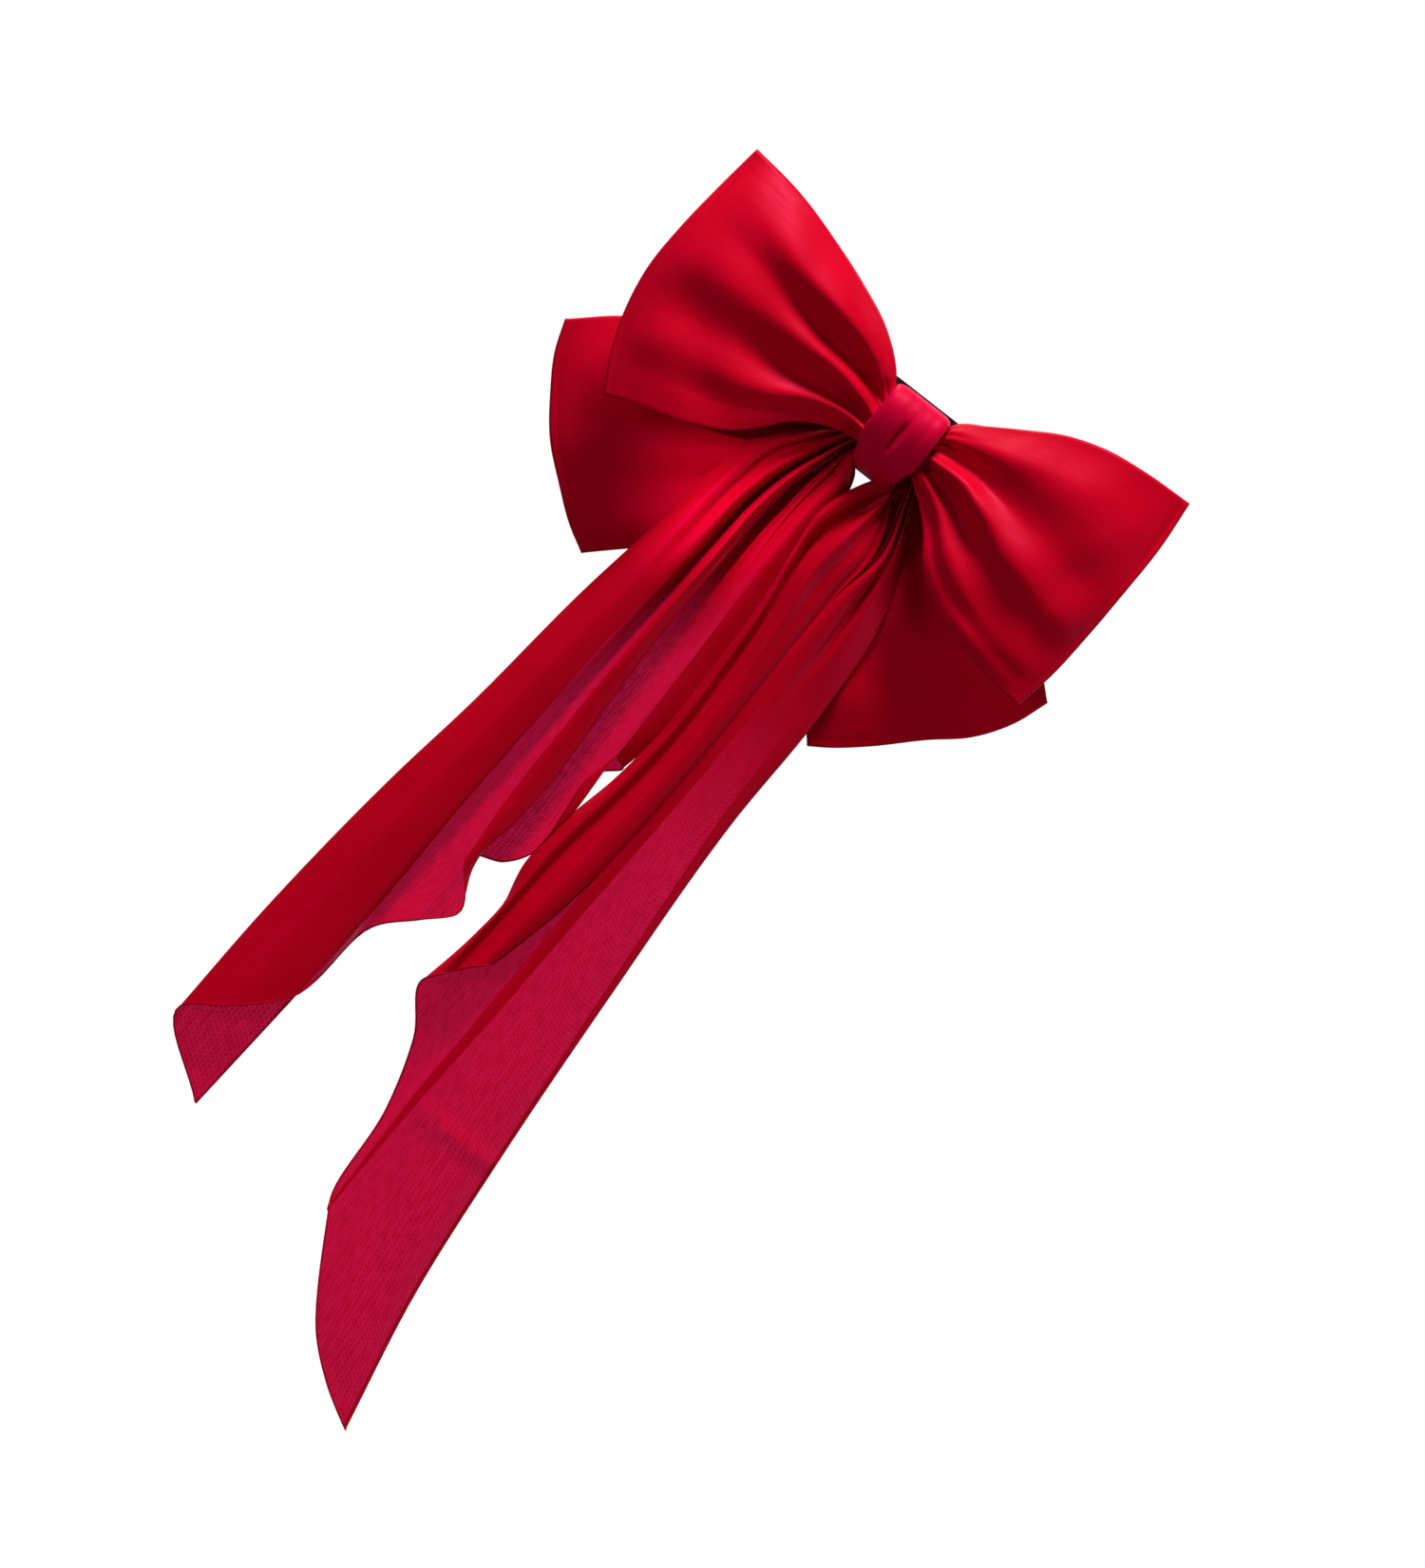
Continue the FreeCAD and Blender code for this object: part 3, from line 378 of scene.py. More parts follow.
WINGS = {
    "front_left": {
        "top": [(-3, 0.3), (-9.2, 1.4), (-12, 5), (-22.4, 13.4), (-34.3, 18.8), (-47.5, 23.4),
                (-65, 28.3), (-81.3, 30.7)],
        "low": [(-3, -18), (-10, -17.2), (-17.6, -18.8), (-27.3, -24.6), (-33.2, -31.4),
                (-39.2, -37), (-50, -42.6), (-62.9, -47), (-72.6, -51)],
        "fold": [(-72.6, -51), (-78, -41), (-82.4, -29), (-84.9, -15), (-84.6, 0), (-83.2, 15),
                 (-81.3, 30.7)],
        "folds": [
            ([(0, 0)], [(0, 1), (0.3, 1.5), (0.6, 3), (0.85, 3), (1, 0.8)]),
            ([(0, 0.07), (0.12, 0.09), (0.3, 0.10), (0.6, 0.11)],
             [(0, 0.6), (0.12, 0.6), (0.3, 2.2), (0.6, 4.4), (0.85, 4), (1, 0.8)]),
            ([(0, 0.20), (0.12, 0.20), (0.3, 0.20), (0.6, 0.23), (1, 0.24)],
             [(0, 1.2), (0.12, 3), (0.3, 5.4), (0.5, 6.4), (0.7, 5.8), (0.9, 4), (1, 0.8)]),
            ([(0, 0.35), (0.12, 0.33), (0.3, 0.34), (0.47, 0.38), (1, 0.38)],
             [(0, 0.6), (0.12, 0.5), (0.25, 0.6), (0.45, 2.4), (0.6, 3.4), (0.8, 3.4), (0.92, 2.6),
              (1, 0.8)]),
            ([(0, 0.50), (0.12, 0.48), (0.3, 0.51), (0.47, 0.55), (1, 0.57)],
             [(0, 1.2), (0.12, 3.8), (0.25, 6.2), (0.45, 7.4), (0.6, 7), (0.8, 6), (0.92, 4),
              (1, 0.8)]),
            ([(0, 0.64), (0.12, 0.63), (0.3, 0.64), (0.42, 0.66), (1, 0.70)],
             [(0, 0.6), (0.12, 0.5), (0.25, 0.8), (0.45, 3.8), (0.6, 5.2), (0.8, 5.2), (0.92, 3.6),
              (1, 0.8)]),
            ([(0, 0.84), (0.2, 0.83), (0.5, 0.82), (1, 0.86)],
             [(0, 0.8), (0.08, 1), (0.15, 4), (0.25, 8), (0.45, 11.6), (0.6, 11), (0.8, 8.4),
              (0.92, 4.8), (1, 0.8)]),
            ([(0, 1)], [(0, 0.6), (0.12, 0.6), (0.25, 3), (0.6, 4.5), (0.85, 3.4), (1, 0.8)]),
        ],
    },
    "front_right": {
        "top": [(3, 0.3), (9.0, 1.0), (11, 4), (18.1, 8.8), (27.8, 15), (36.2, 19.9), (48.1, 24.2),
                (60, 26), (75.9, 27)],
        "low": [(3, -18), (8.5, -15.6), (13.5, -18.4), (21.9, -25.7), (27.8, -33.6), (36.2, -39.6),
                (48.1, -44), (59.9, -47), (72.4, -48.4)],
        "fold": [(72.4, -48.4), (74.8, -36.5), (76.1, -20.6), (76.7, -5.2), (77, 12.9),
                 (75.9, 27)],
        "folds": [
            ([(0, 0)], [(0, 1), (0.6, 1.2), (1, 0.8)]),
            ([(0, 0.05), (0.2, 0.07), (0.5, 0.06)],
             [(0, 0.6), (0.15, 0.8), (0.3, 1.6), (0.6, 3), (0.85, 3), (1, 0.8)]),
            ([(0, 0.12), (0.15, 0.16), (0.3, 0.18), (0.6, 0.15), (1, 0.13)],
             [(0, 1.2), (0.15, 3), (0.3, 4.6), (0.5, 5.2), (0.7, 4.8), (0.9, 3.4), (1, 0.8)]),
            ([(0, 0.23), (0.12, 0.27), (0.22, 0.33), (0.4, 0.33), (0.58, 0.27), (0.75, 0.24), (1, 0.23)],
             [(0, 0.6), (0.12, 0.5), (0.25, 0.6), (0.45, 2.8), (0.6, 4.2), (0.8, 4.4), (1, 0.8)]),
            ([(0, 0.36), (0.12, 0.41), (0.22, 0.46), (0.4, 0.46), (0.58, 0.41), (0.75, 0.37), (1, 0.36)],
             [(0, 1.4), (0.12, 4.2), (0.25, 6.8), (0.45, 8.2), (0.6, 8.2), (0.8, 7), (0.92, 4.2),
              (1, 0.8)]),
            ([(0, 0.52), (0.12, 0.55), (0.2, 0.58), (0.5, 0.57), (0.8, 0.54), (1, 0.54)],
             [(0, 0.6), (0.12, 0.5), (0.25, 0.8), (0.45, 4), (0.6, 5.4), (0.8, 5), (1, 0.8)]),
            ([(0, 0.80), (0.2, 0.82), (0.5, 0.82), (1, 0.85)],
             [(0, 0.8), (0.08, 1), (0.15, 3.6), (0.25, 6.8), (0.45, 9.8), (0.6, 10), (0.8, 8),
              (0.92, 4.4), (1, 0.8)]),
            ([(0, 1)], [(0, 0.6), (0.12, 0.6), (0.25, 5.4), (0.6, 9), (0.85, 5.6), (1, 0.8)]),
        ],
    },
    "back_left": {
        "top": [(-3, 1.6), (-6.5, 0), (-9.6, -6), (-13, -8.8), (-18, -9.8), (-34, -12.5),
                (-60, -19.5), (-82.6, -29.4), (-95.3, -40.2)],
        "low": [(-3, -15.5), (-7, -30), (-14, -50), (-26, -67.5), (-40.2, -80.2), (-50.5, -90)],
        "fold": [(-50.5, -90), (-58.3, -85.6), (-67.8, -78.3), (-77.5, -70), (-85.9, -59.1),
                 (-91.8, -49.6), (-95.3, -40.2)],
        "folds": BACK_FOLDS,
    },
    "back_right": {
        "top": [(3, 1.6), (6.5, 0), (9.6, -6), (13, -8.8), (18, -9.8), (34, -14), (56, -23.5),
                (75.3, -38), (79.4, -41.8)],
        "low": [(3, -15.5), (5.5, -34), (11, -58), (20, -78.5), (32.9, -93.7)],
        "fold": [(32.9, -93.7), (38.3, -90.1), (46.7, -83.1), (58.9, -71.2), (68.3, -62.9),
                 (75.6, -52.1), (79.4, -41.8)],
        "folds": BACK_FOLDS,
    },
}

WING_ROWS = 90         # from the knot to the outer end
WING_COLUMNS = 72      # from the low edge to the top edge
FOLD_TURNS = 7         # rows round the fold
GATHER_DEPTH = 0.35    # creases beside the knot
SLACK_DEPTH = 0.5      # unevenness of the free cloth
BACK_FOLD_DEPTH = 1.8  # folds of the back layer
PACKED_HALF = 1.2      # how far each layer stands out where the loops fill the knot
LAYER_GAP = 0.5        # least distance of a layer from the middle of its loop
RIBBON_THICKNESS = 0.55

# Depth of each bow: the middle of its layers in the knot and at its folds, how far the edges of
# the back layer stand from the middle, how far that layer puffs out, how far the top edge leans
# back, and the radius of the fold.
DEPTHS = {
    "front": {"knot": -20.3, "fold": -26.0, "edge": 1.2, "back_puff": 4.5, "top_lean": 8.0,
              "fold_radius": 0.8},
    "back": {"knot": -11.3, "fold": -7.0, "edge": 1.1, "back_puff": 5.0, "top_lean": 0.0,
             "fold_radius": 0.8},
}


def wing_patch(wing, u, v):
    """Points (x, z) of a wing between its four edges, for grids u and v."""
    top, low = spline(wing["top"], u), spline(wing["low"], u)
    fold = spline(wing["fold"], v)
    inner = np.outer(1 - v, wing["low"][0]) + np.outer(v, wing["top"][0])
    u, v = u[:, None, None], v[None, :, None]
    corners = ((1 - u) * ((1 - v) * inner[0] + v * inner[-1])
               + u * ((1 - v) * fold[0] + v * fold[-1]))
    return ((1 - v) * low[:, None] + v * top[:, None]
            + (1 - u) * inner[None] + u * fold[None] - corners)


def gathers(u, v):
    """Fine creases that fan out from the knot."""
    creases = np.sin(v * 34 + 1.2 * np.sin(v * 9)) + 0.6 * np.sin(v * 57 + 2.0)
    return GATHER_DEPTH * creases * rise(u, 0, 0.04) * (1 - rise(u, 0, 0.32))


def slack(u, v):
    """Soft unevenness of cloth that hangs free."""
    broad = np.sin(9 * u + 4 * v + 1) * np.sin(13 * v - 5 * u)
    narrow = np.sin(21 * u - 8 * v) * np.sin(7 * v + 2)
    return SLACK_DEPTH * (broad + 0.6 * narrow) * rise(u, 0, 0.3) * (1 - rise(u, 0.8, 1))


def front_layer(folds, u, v):
    """Distance of a wing's front layer from the middle of its loop, smooth from fold to fold."""
    places = [follow(place, u) for place, _ in folds]
    stands = [follow(stand, u) for _, stand in folds]
    out = stands[0]
    last = len(folds) - 2
    for number in range(last + 1):
        across = np.clip((v - places[number]) / (places[number + 1] - places[number]), 0, 1)
        if number == 0:
            across = np.sin(across * math.pi / 2)
        elif number == last:
            across = 1 - np.cos(across * math.pi / 2)
        else:
            across = ease(across)
        out = out + (stands[number + 1] - stands[number]) * across
    return out


def back_layer(depths, u, v):
    """Distance of a wing's back layer from the middle of its loop."""
    swell = np.sin(math.pi * u ** 0.85) ** 1.2
    folds = np.sin(v * 15 + 1.5 * u) + 0.5 * np.sin(v * 27 - 3 * u + 1)
    folds = BACK_FOLD_DEPTH * folds * rise(u, 0.05, 0.25) * (1 - rise(u, 0.25, 0.85))
    rounded = 1 - np.abs(2 * v - 1) ** 2.4
    return depths["edge"] + (depths["back_puff"] * swell + folds) * rounded


def packed(u):
    """How far a layer is pushed out where the loops fill the inside of the knot."""
    return PACKED_HALF * (1 - rise(u, 0.04, 0.12))


def loop_middle(depths, u, v):
    """Depth of the middle of a loop: it changes from the knot to the fold and leans back on top."""
    outwards = depths["knot"] + (depths["fold"] - depths["knot"]) * rise(u, 0, 0.8)
    return outwards + depths["top_lean"] * rise(u, 0, 0.4) * rise(v, 0.5, 1.05) ** 1.3


def in_space(flat, depth):
    """Points from their places (x, z) and their depths."""
    return np.stack([flat[..., 0], depth, flat[..., 1]], axis=-1)


def fold_cap(flat, middle, radius):
    """Rows round the fold at the outer end, from the front layer to the back one."""
    outward = flat[-1] - flat[-3]
    outward /= np.linalg.norm(outward, axis=1, keepdims=True)
    rows = []
    for angle in np.linspace(0, math.pi, FOLD_TURNS + 2)[1:-1]:
        place = flat[-1] + radius * math.sin(angle) * outward
        rows.append(in_space(place, middle[-1] - radius * math.cos(angle)))
    return np.array(rows)


def wing_grid(name):
    """One wing as a grid: the front layer outwards, round the fold, and the back layer inwards."""
    wing = WINGS[name]
    depths = DEPTHS[name.split("_")[0]]
    radius = depths["fold_radius"]
    along = 1 - (1 - np.linspace(0, 1, WING_ROWS)) ** 1.15
    across = np.linspace(0, 1, WING_COLUMNS)
    flat = wing_patch(wing, along, across)
    u, v = np.meshgrid(along, across, indexing="ij")
    middle = loop_middle(depths, u, v)
    front = front_layer(wing["folds"], u, v) + gathers(u, v) + slack(u, v) + packed(u)
    front = LAYER_GAP + np.logaddexp(0, 2 * (front - LAYER_GAP)) / 2
    front = radius + (front - radius) * (1 - rise(u, 0.97, 1))
    behind = radius + (back_layer(depths, u, v) + packed(u) - radius) * (1 - rise(u, 0.9, 1))
    inner_end = in_space(flat[:1], middle[:1])
    return np.concatenate([inner_end, in_space(flat, middle - front), fold_cap(flat, middle, radius),
                           in_space(flat, middle + behind)[::-1], inner_end])


def make_bow(name, material):
    """Both wings of a bow, as one piece of ribbon."""
    wings = [grid_mesh(name + side, wing_grid(name + side)) for side in ("_left", "_right")]
    bow = join(name + "_ribbon", wings)
    bow.data.materials.append(material)
    return thicken(bow, RIBBON_THICKNESS)


# ---------------------------------------------------------------- tails

# A tail is cloth drawn over fold lines that hang from the knot to the slanted cut. Each line says
# how far it stands back (+) or forward (-) of the strip's own plane, and where it runs as (x, z).
# The lines are in the order in which they follow each other across the strip.

LEFT_TAIL = [
    (2.6, [(-2, -9), (-10, -13), (-22, -34), (-28, -60), (-30, -98), (-31.5, -126), (-33.8, -166),
           (-35.2, -206), (-37.5, -236), (-41.3, -281.4)]),
    (0.4, [(-2, 1), (-6.5, -2.5), (-10, -11), (-19, -20.8), (-28.4, -28.6), (-33, -36), (-35.3, -45),
           (-39.4, -71), (-43.8, -97), (-49.5, -143), (-54.2, -173), (-59.6, -223), (-61.7, -262)]),
    (-5.0, [(-2, -8), (-10, -13.5), (-20, -25), (-26, -34), (-29, -46), (-32, -70), (-36, -98),
            (-41, -143), (-47, -200), (-50, -252.5)]),
    (-4.0, [(-2, -9), (-9.8, -15), (-17, -27), (-22, -38), (-24.5, -48), (-26.5, -70), (-31, -115),
            (-36, -166), (-38.5, -206), (-38.6, -241)]),
    (2.6, [(-2, -10), (-9.6, -16.3), (-15.2, -26), (-19.3, -35), (-22, -46), (-23.6, -62),
           (-24.8, -83), (-27, -115), (-28.9, -152), (-30.5, -179), (-32.6, -211)]),
    (-5.2, [(-2, -11.3), (-9.4, -17.4), (-13.4, -26), (-16.8, -36), (-19.4, -50), (-20.4, -68),
            (-22.1, -98), (-23, -125), (-22.4, -152), (-22.5, -200)]),
    (-3.0, [(-2, -12.5), (-9.2, -18.3), (-11.8, -25), (-14.8, -34), (-16.6, -44), (-17.6, -59),
            (-18.6, -83), (-18.4, -125), (-17.6, -150), (-18.4, -163), (-20.6, -175), (-19.4, -184),
            (-15.7, -193)]),
    (1.2, [(-2, -13.5), (-9, -19), (-12, -27), (-17, -40), (-20.5, -60), (-22.5, -83), (-24, -115),
           (-24.5, -145), (-23.4, -178)]),
    (3.4, [(-2, -14.5), (-8.8, -19.8), (-10.8, -27), (-13.6, -40), (-15.7, -62), (-15.2, -98),
           (-14.6, -130), (-13.6, -155), (-14.2, -173)]),
    (0.6, [(-2, -15.3), (-8.5, -20.6), (-9.6, -27), (-11.6, -40), (-12.6, -62), (-11.3, -88),
            (-10.5, -115), (-10.6, -140), (-8.6, -156), (-9.8, -167)]),
    (-1.0, [(-2, -16), (-8.0, -21.4), (-7.2, -28), (-8.2, -40), (-8.4, -62), (-6.6, -88),
            (-6.4, -110), (-6.9, -125), (-9.6, -138)]),
    (3.4, [(-2, -16.7), (-5.6, -21.4), (-3.2, -25), (-1.4, -31), (-0.6, -50), (1.2, -84),
           (0.8, -108), (-3.9, -131.5)]),
    (4.6, [(-2, -17.2), (-5.2, -21.8), (-4.0, -28), (-6.0, -44), (-7.4, -66), (-7.2, -96),
           (-7.2, -130)]),
]

RIGHT_TAIL = [
    (4.0, [(2, -8.2), (9.4, -13), (15.4, -25), (19.8, -37), (23.6, -50), (26.3, -84), (27.2, -126),
           (29.6, -160), (33.2, -205), (36.4, -243), (41.2, -288), (48.9, -327.8)]),
    (3.2, [(2, 1), (6.5, -2.5), (9.8, -11), (15.5, -22.5), (20.3, -31), (24.8, -41), (28.5, -53),
           (31.2, -83), (30.4, -125), (33.4, -186), (37.1, -240), (41.9, -287), (49.7, -328.4)]),
    (-0.6, [(2, -8), (9.8, -13.2), (15.5, -25), (19.5, -37), (22, -52), (23.4, -68), (23, -91),
            (23.5, -125), (25, -160), (28, -213), (33, -263), (37.5, -321)]),
    (-2.8, [(2, -9), (9.7, -14.7), (14.8, -26), (18.6, -38), (19, -54), (19.2, -68), (18.4, -91),
            (18, -125), (17.5, -160), (18, -213), (20, -255), (26, -311)]),
    (-1.6, [(2, -9.6), (9.6, -15.6), (13.6, -26), (16.8, -38), (14.8, -54), (14.0, -68),
            (13.2, -91), (12.0, -125), (10.0, -165), (8.0, -213), (6.6, -245), (6.4, -280)]),
    (0.4, [(2, -10), (9.6, -16), (13.4, -26), (17, -38), (16.6, -54), (16.6, -68), (16.0, -91),
           (15, -125), (13.0, -165), (10.6, -213), (8.6, -245), (7.2, -282)]),
    (1.6, [(2, -10.4), (9.5, -16.6), (12.8, -26), (16, -38), (14.0, -54), (13, -68), (12.2, -91),
           (11, -125), (9.2, -165), (6.6, -213), (5.0, -247), (5.2, -277)]),
    (3.4, [(2, -11.4), (9.3, -17.4), (11, -26), (11.5, -38), (10, -54), (9, -68), (8.6, -91),
           (8, -125), (6, -165), (4, -200), (2.8, -250)]),
    (3.4, [(2, -12.4), (9.0, -18.3), (8.6, -26), (6, -38), (4.6, -54), (4.2, -70), (4.4, -98),
           (3, -130), (-0.5, -165), (-3, -195), (-3.6, -228.5)]),
    (0.2, [(2, -13.4), (7.4, -19.4), (2.4, -22.4), (-1.2, -28), (-5.2, -38), (-4.6, -48),
           (-2.2, -68), (-1.5, -91), (-1.6, -115), (-3.5, -132), (-8.9, -160), (-9.2, -170),
           (-7.2, -181), (-8.4, -196), (-11.9, -214)]),
    (-3.4, [(2, -14.2), (7.9, -20.4), (4.2, -24.4), (0.2, -31), (-3.4, -42), (-2.8, -54),
            (-0.4, -70), (0.6, -91), (0.8, -115), (-0.8, -132), (-5, -160), (-6.4, -185),
            (-8.6, -209)]),
    (-1.4, [(2, -15), (8.0, -21.5), (5.8, -27.5), (1.6, -36), (-1.4, -47), (-0.8, -58), (1.6, -72),
            (3, -91), (3.2, -115), (1.8, -132), (-2.4, -160), (-4.6, -185), (-6.2, -206)]),
    (-6.0, [(2, -15.7), (7.9, -21.8), (7.6, -29), (6, -40), (4.6, -52), (6, -70), (7, -98),
            (6.6, -125), (3.6, -155), (0.2, -185), (-2, -201)]),
    (-5.4, [(2, -16.4), (7.7, -22.2), (10, -30), (11.4, -41), (10.2, -54), (10.6, -70),
            (10.6, -98), (10, -125), (7.6, -155), (4, -180), (0.6, -198.5)]),
    (-2.6, [(2, -17), (7.4, -22.6), (12, -30), (15, -41), (13.9, -54), (13.9, -68), (13.6, -91),
            (12.4, -125), (10, -153), (7, -174), (1.6, -197)]),
]

TAIL_ROWS = 150
TAIL_STEPS = 10        # steps of the cloth from one fold line to the next
TAIL_STRETCH = 1.003
TAIL_CREASE = 1.4      # creases below the knot
TAIL_FORWARD = 0.6     # how far the tails stand before the middle of their binding
PACKED_SHARE = 0.25    # share of a fold line's depth that is left inside the knot
HEM_FROM = 6           # rows of a tail that lie inside the knot, where no hem is made
HEM_RADIUS = 0.28
PRESSED_AT = 244       # the right tail keeps the line it was folded on in its packet
PRESSED_RISE = 1.5
PRESSED_WIDTH = 1.3
TAIL_MIDDLE = sum(corner.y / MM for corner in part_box("tail_binding")) / 2


def fold_line(depth, path, at):
    """Points of a fold line. The cloth is packed flat in the knot and opens out as it hangs."""
    x, z = spline(path, at).T
    opening = PACKED_SHARE + (1 - PACKED_SHARE) * rise(-z, 18, 48)
    return np.stack([x, TAIL_MIDDLE - TAIL_FORWARD + depth * opening, z * TAIL_STRETCH], axis=-1)


def tail_creases(cloth):
    """How far back each point of a tail lies for its creases below the knot."""
    across = np.linspace(0, 1, cloth.shape[1])[None, :]
    fall = -cloth[..., 2]
    fading = rise(fall, 12, 20) * (1 - rise(fall, 35, 95))
    return TAIL_CREASE * fading * (np.sin(across * 42) + 0.6 * np.sin(across * 71 + 1))


def pressed_line(cloth):
    """How far forward each point of a tail stands on the line it was folded on."""
    fall = -cloth[..., 2]
    return PRESSED_RISE * np.exp(-((fall - PRESSED_AT) / PRESSED_WIDTH) ** 2) * rise(cloth[..., 0], 8, 11)


def tail_grid(lines):
    """A tail as a grid: one row for each place down its lines, smooth from line to line."""
    at = np.linspace(0, 1, TAIL_ROWS) ** 1.12
    grid = np.array([fold_line(depth, path, at) for depth, path in lines])
    gaps = np.linalg.norm(np.diff(grid, axis=0), axis=2).mean(axis=1)
    knots = np.concatenate([[0.0], np.cumsum(gaps)])
    finer = []
    for start, end in zip(knots, knots[1:]):
        finer.extend(np.linspace(start, end, TAIL_STEPS, endpoint=False))
    finer.append(knots[-1])
    cloth = np.swapaxes(hermite(grid, knots, np.array(finer)), 0, 1)
    cloth[..., 1] += tail_creases(cloth) - pressed_line(cloth)
    return cloth


def make_tails(material, hem_material):
    """Both tails as one strip, with a narrow rolled hem along every free edge."""
    grids = [tail_grid(LEFT_TAIL), tail_grid(RIGHT_TAIL)]
    tails = join("tail_ribbon", [grid_mesh("tail", grid) for grid in grids])
    tails.data.materials.append(material)
    hems = []
    for grid in grids:
        for path in (grid[HEM_FROM:, 0], grid[-1], grid[HEM_FROM:, -1]):
            hems.append(grid_mesh("hem", tube_grid(path, HEM_RADIUS)))
    hem = join("tail_hem", hems)
    hem.data.materials.append(hem_material)
    return tails, hem


# ---------------------------------------------------------------- knot

KNOT_ROWS = 120
KNOT_COLUMNS = 60
KNOT_HALF_WIDTH = 9.5
KNOT_TAPER = 2.3       # how much narrower each half of the knot is at its foot
KNOT_SWELL = 11.8      # how far the knot's face stands out from its middle
KNOT_LEAN = 0.26       # how much further out it stands for each millimetre up
KNOT_EDGE = 1.3        # how far the folded edges turn in
CREASE_DEPTH = 1.5
LAP_RISE = 0.5
FRONT_ROUNDNESS = 0.92  # 1 would be an ellipse, and 0 a box
BACK_ROUNDNESS = 0.42
BAND_THICKNESS = 0.5


def knot_face(across, sin, z):
    """How far in the knot's face lies: a crease down its middle, a lap beside it and soft pleats."""
    beside = across - (-0.05 + 0.03 * sin)
    crease = CREASE_DEPTH * np.exp(-(beside / 0.12) ** 2) * np.exp(-(z / 4.6) ** 4)
    lap = LAP_RISE * rise(beside, 0.02, 0.18) * (1 - rise(beside, 0.2, 0.8)) * np.exp(-(z / 8.0) ** 4)
    pleats = 0.10 * np.cos(across * 5.0 + 1.4 * sin) + 0.05 * np.cos(across * 15 + 2.0 - 2 * sin)
    return crease - lap - pleats


def knot_grid():
    """The band round the middle: drawn round in a barrel that leans forward, with one crease."""
    turn = np.linspace(0, 2 * math.pi, KNOT_ROWS, endpoint=False)[:, None]
    across = np.linspace(-1, 1, KNOT_COLUMNS)[None, :]
    half_depth = (KNOT_HIGH.y - KNOT_LOW.y) / 2
    half_height = (KNOT_HIGH.z - KNOT_LOW.z) / 2
    cos, sin = np.cos(turn), np.sin(turn)
    roundness = np.where(cos > 0, FRONT_ROUNDNESS, BACK_ROUNDNESS)
    depth = np.where(cos > 0, KNOT_SWELL, half_depth)
    y = -np.sign(cos) * np.abs(cos) ** roundness * depth
    z = np.sign(sin) * np.abs(sin) ** roundness * half_height
    x = across * (KNOT_HALF_WIDTH - KNOT_TAPER * rise(-sin, 0.1, 1))
    inward = KNOT_EDGE * np.abs(across) ** 9
    inward = inward + rise(cos, 0, 0.3) * (1 - np.abs(across) ** 6) * knot_face(across, sin, z)
    y = y * (1 - inward / depth) - KNOT_LEAN * z * (1 - rise(-cos, 0, 0.6))
    z = z * (1 - inward / half_height)
    return np.stack([x, y + KNOT_MIDDLE.y, z + KNOT_MIDDLE.z], axis=-1)


def make_knot(material):
    knot = grid_mesh("knot_wrap", knot_grid(), wrap=True)
    knot.data.materials.append(material)
    return thicken(knot, BAND_THICKNESS)


# ---------------------------------------------------------------- the object

SATIN = satin("satin", (0.42, 0.0002, 0.009, 1), (0.52, 0.0003, 0.013, 1))
# The knot's copy of the satin is painted pinker and a little lighter than the wings', as a painted pink
# highlight.
PINK_LIT_KNOT_SATIN = satin("knot_satin_painted_pink_highlight", (0.44, 0.0002, 0.020, 1), (0.54, 0.0003, 0.030, 1))
CHIFFON = chiffon("chiffon", (0.46, 0.0002, 0.009, 1), (0.54, 0.0003, 0.012, 1))
HEM = satin("hem", (0.30, 0.0003, 0.008, 1), (0.38, 0.0004, 0.012, 1))
ENAMEL = enamel("black_enamel", (0.010, 0.007, 0.008, 1), 0.28)
STEEL = steel("plain_steel")
GROOVE_SHADED_THREAD = thread_turns_painted_groove_shade("thread_turns_painted_groove_shade")
GLUE = hot_glue("hot_glue")

CAD_MATERIALS = {
    "front_binding": GROOVE_SHADED_THREAD, "back_binding": GROOVE_SHADED_THREAD, "tail_binding": GROOVE_SHADED_THREAD, "glue_pad": GLUE,
    "top_plate": ENAMEL, "clasp_arm": ENAMEL, "tension_bar": ENAMEL, "catch_base": ENAMEL,
    "release_prong_upper": ENAMEL, "release_prong_lower": ENAMEL,
    "hinge_pin": STEEL, "catch_rivets": STEEL,
}


def dress_cad_nodes():
    """Give every CAD node that stays in view its own material."""
    for name, material in CAD_MATERIALS.items():
        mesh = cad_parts[name].data
        mesh.materials.clear()
        mesh.materials.append(material)


def put_on_bow(piece, slot, *nodes):
    """A piece of the bow rides on the bow's body and takes the place of its CAD solid."""
    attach(piece, "bow")
    if nodes:
        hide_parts(*nodes)


dress_cad_nodes()

front_bow = make_bow("front", SATIN)
put_on_bow(front_bow, "satin", "front_bow")
back_bow = make_bow("back", SATIN)
put_on_bow(back_bow, "satin", "back_bow")
tails, hem = make_tails(CHIFFON, HEM)
put_on_bow(tails, "tail_ribbon", "tail_strip")
put_on_bow(hem, "tail_ribbon")
knot = make_knot(PINK_LIT_KNOT_SATIN)
put_on_bow(knot, "satin", "knot_band")


# ---------------------------------------------------------------- stage, light and camera

IMAGE = (1500, 1650)
VIEW_WIDTH = 0.405          # width of the picture at the knot, in metres
ELEVATION = math.radians(1)
ROLL = math.radians(38)     # the bow is pictured turned clockwise by this much
KNOT_IN_PICTURE = (0.0525, 0.0980)   # right of and above the middle of the picture
DISTANCE = 3.0
SENSOR = 36.0
WORLD_LIGHT = 0.03          # light on the object from all around
FLOOR_DROP = 0.08           # how far the floor lies below the tails
FLOOR_RADIUS = 60.0
FLOOR_GLOW = 1.11           # how bright the floor is to the camera
FLOOR_GLOW_SHARE = 0.9      # and how much of what the camera sees of the floor is this glow
PINK_LIGHT = (1.0, 0.3, 0.5)


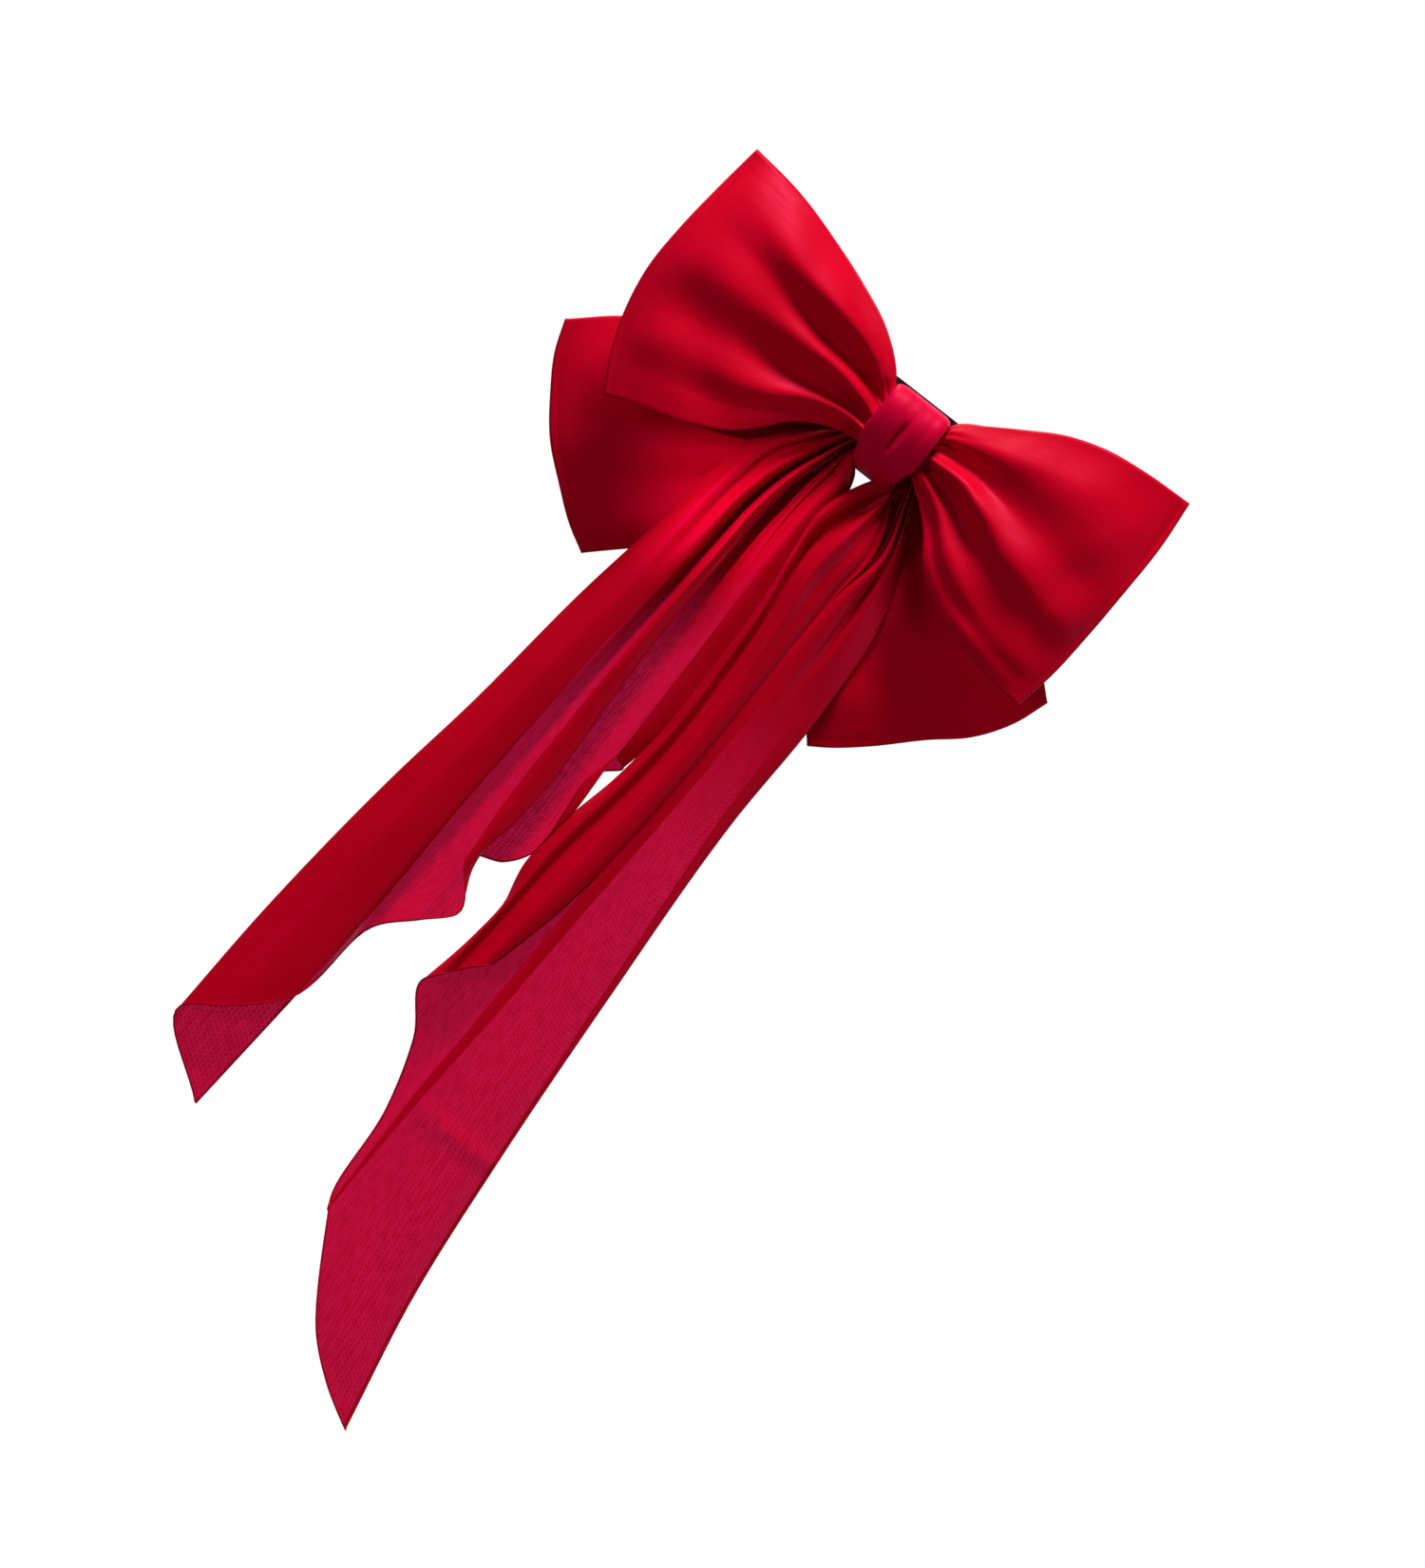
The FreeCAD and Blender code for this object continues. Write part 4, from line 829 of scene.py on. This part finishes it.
def make_camera():
    data = bpy.data.cameras.new("camera")
    camera = bpy.data.objects.new("camera", data)
    bpy.context.scene.collection.objects.link(camera)
    forward = Vector((0, math.cos(ELEVATION), -math.sin(ELEVATION)))
    level_right = Vector((1, 0, 0))
    level_up = level_right.cross(forward)
    right = math.cos(ROLL) * level_right + math.sin(ROLL) * level_up
    up = right.cross(forward)
    knot_face = Vector((0, KNOT_LOW.y, KNOT_MIDDLE.z)) * MM
    aim = knot_face - KNOT_IN_PICTURE[0] * right - KNOT_IN_PICTURE[1] * up
    camera.matrix_world = Matrix.Translation(aim - forward * DISTANCE) @ Matrix((
        (right.x, up.x, -forward.x, 0), (right.y, up.y, -forward.y, 0),
        (right.z, up.z, -forward.z, 0), (0, 0, 0, 1)))
    data.sensor_width = SENSOR
    view_height = VIEW_WIDTH * IMAGE[1] / IMAGE[0]
    data.lens = SENSOR * DISTANCE / view_height
    data.clip_start, data.clip_end = 0.1, 50
    bpy.context.scene.camera = camera


def hang_light(data, location, target):
    """Put a light in the scene, turned to its target."""
    light = bpy.data.objects.new(data.name, data)
    light.location = location
    direction = Vector(target) - Vector(location)
    light.rotation_euler = direction.to_track_quat("-Z", "Y").to_euler()
    bpy.context.scene.collection.objects.link(light)


def make_light(name, location, target, size, power, colour=(1, 1, 1)):
    """A round softbox."""
    data = bpy.data.lights.new(name, "AREA")
    data.shape = "DISK"
    data.size = size
    data.energy = power
    data.color = colour
    hang_light(data, location, target)


def make_spot(name, location, target, cone, power, radius):
    """A soft-edged spotlight whose cone is given in degrees."""
    data = bpy.data.lights.new(name, "SPOT")
    data.spot_size = math.radians(cone)
    data.spot_blend = 1.0
    data.shadow_soft_size = radius
    data.energy = power
    hang_light(data, location, target)


def make_world():
    """White ground for the camera, dimmer white light on the object."""
    world = bpy.data.worlds.new("studio")
    world.use_nodes = True
    tree = world.node_tree
    tree.nodes.clear()
    path = tree.nodes.new("ShaderNodeLightPath")
    seen = tree.nodes.new("ShaderNodeBackground")
    seen.inputs["Color"].default_value = (1, 1, 1, 1)
    lit = tree.nodes.new("ShaderNodeBackground")
    lit.inputs["Color"].default_value = (1, 1, 1, 1)
    lit.inputs["Strength"].default_value = WORLD_LIGHT
    mix = tree.nodes.new("ShaderNodeMixShader")
    out = tree.nodes.new("ShaderNodeOutputWorld")
    tree.links.new(path.outputs["Is Camera Ray"], mix.inputs[0])
    tree.links.new(lit.outputs[0], mix.inputs[1])
    tree.links.new(seen.outputs[0], mix.inputs[2])
    tree.links.new(mix.outputs[0], out.inputs["Surface"])
    bpy.context.scene.world = world


def make_floor():
    """A plain floor a little below the tails: white to the camera, and dark grey to the light."""
    bpy.ops.mesh.primitive_circle_add(vertices=96, radius=FLOOR_RADIUS, fill_type="NGON",
                                      location=(0, 0, CAD_LOW.z - FLOOR_DROP))
    floor = bpy.context.active_object
    floor.name = "floor"
    material = new_material("floor")
    clouds = solid_noise(material, 3.0)
    colour = mix_colour(material, clouds, (0.10, 0.10, 0.10, 1), (0.12, 0.12, 0.12, 1))
    shader = node(material, "BsdfDiffuse", {"Color": colour})
    bright = node(material, "Emission", {"Color": (1, 1, 1, 1), "Strength": FLOOR_GLOW})
    seen = node(material, "LightPath").outputs["Is Camera Ray"]
    amount = math_node(material, "MULTIPLY", seen, FLOOR_GLOW_SHARE)
    mixed = node(material, "MixShader", {0: amount, 1: shader.outputs[0], 2: bright.outputs[0]})
    output(material, mixed.outputs[0])
    floor.data.materials.append(material)


make_world()
make_floor()
make_light("key", (-0.42, -0.50, 1.48), (0, -0.02, -0.05), 0.5, 48)
make_light("side", (1.3, -0.5, 0), (0.03, 0, -0.1), 0.5, 5)
make_light("left", (-1.2, -1.3, -0.2), (-0.01, 0, -0.15), 0.4, 6)
make_light("rim", (0.3, 1.6, 0.9), (0, 0, -0.1), 1.0, 9, PINK_LIGHT)
make_light("back left", (-1.1, 1.0, 1.1), (0, 0, -0.1), 0.6, 18)
make_light("back right", (1.1, 1.4, 0.1), (0, 0, -0.1), 1.2, 3)
make_spot("tails", (-0.55, -1.2, -0.1), (0, 0, -0.21), 14, 5, 0.08)
make_spot("shoulder", (-0.6, -0.9, -0.25), (-0.029, -0.018, -0.055), 2.8, 60, 0.012)
make_camera()

scene = bpy.context.scene
scene.view_settings.view_transform = "Standard"
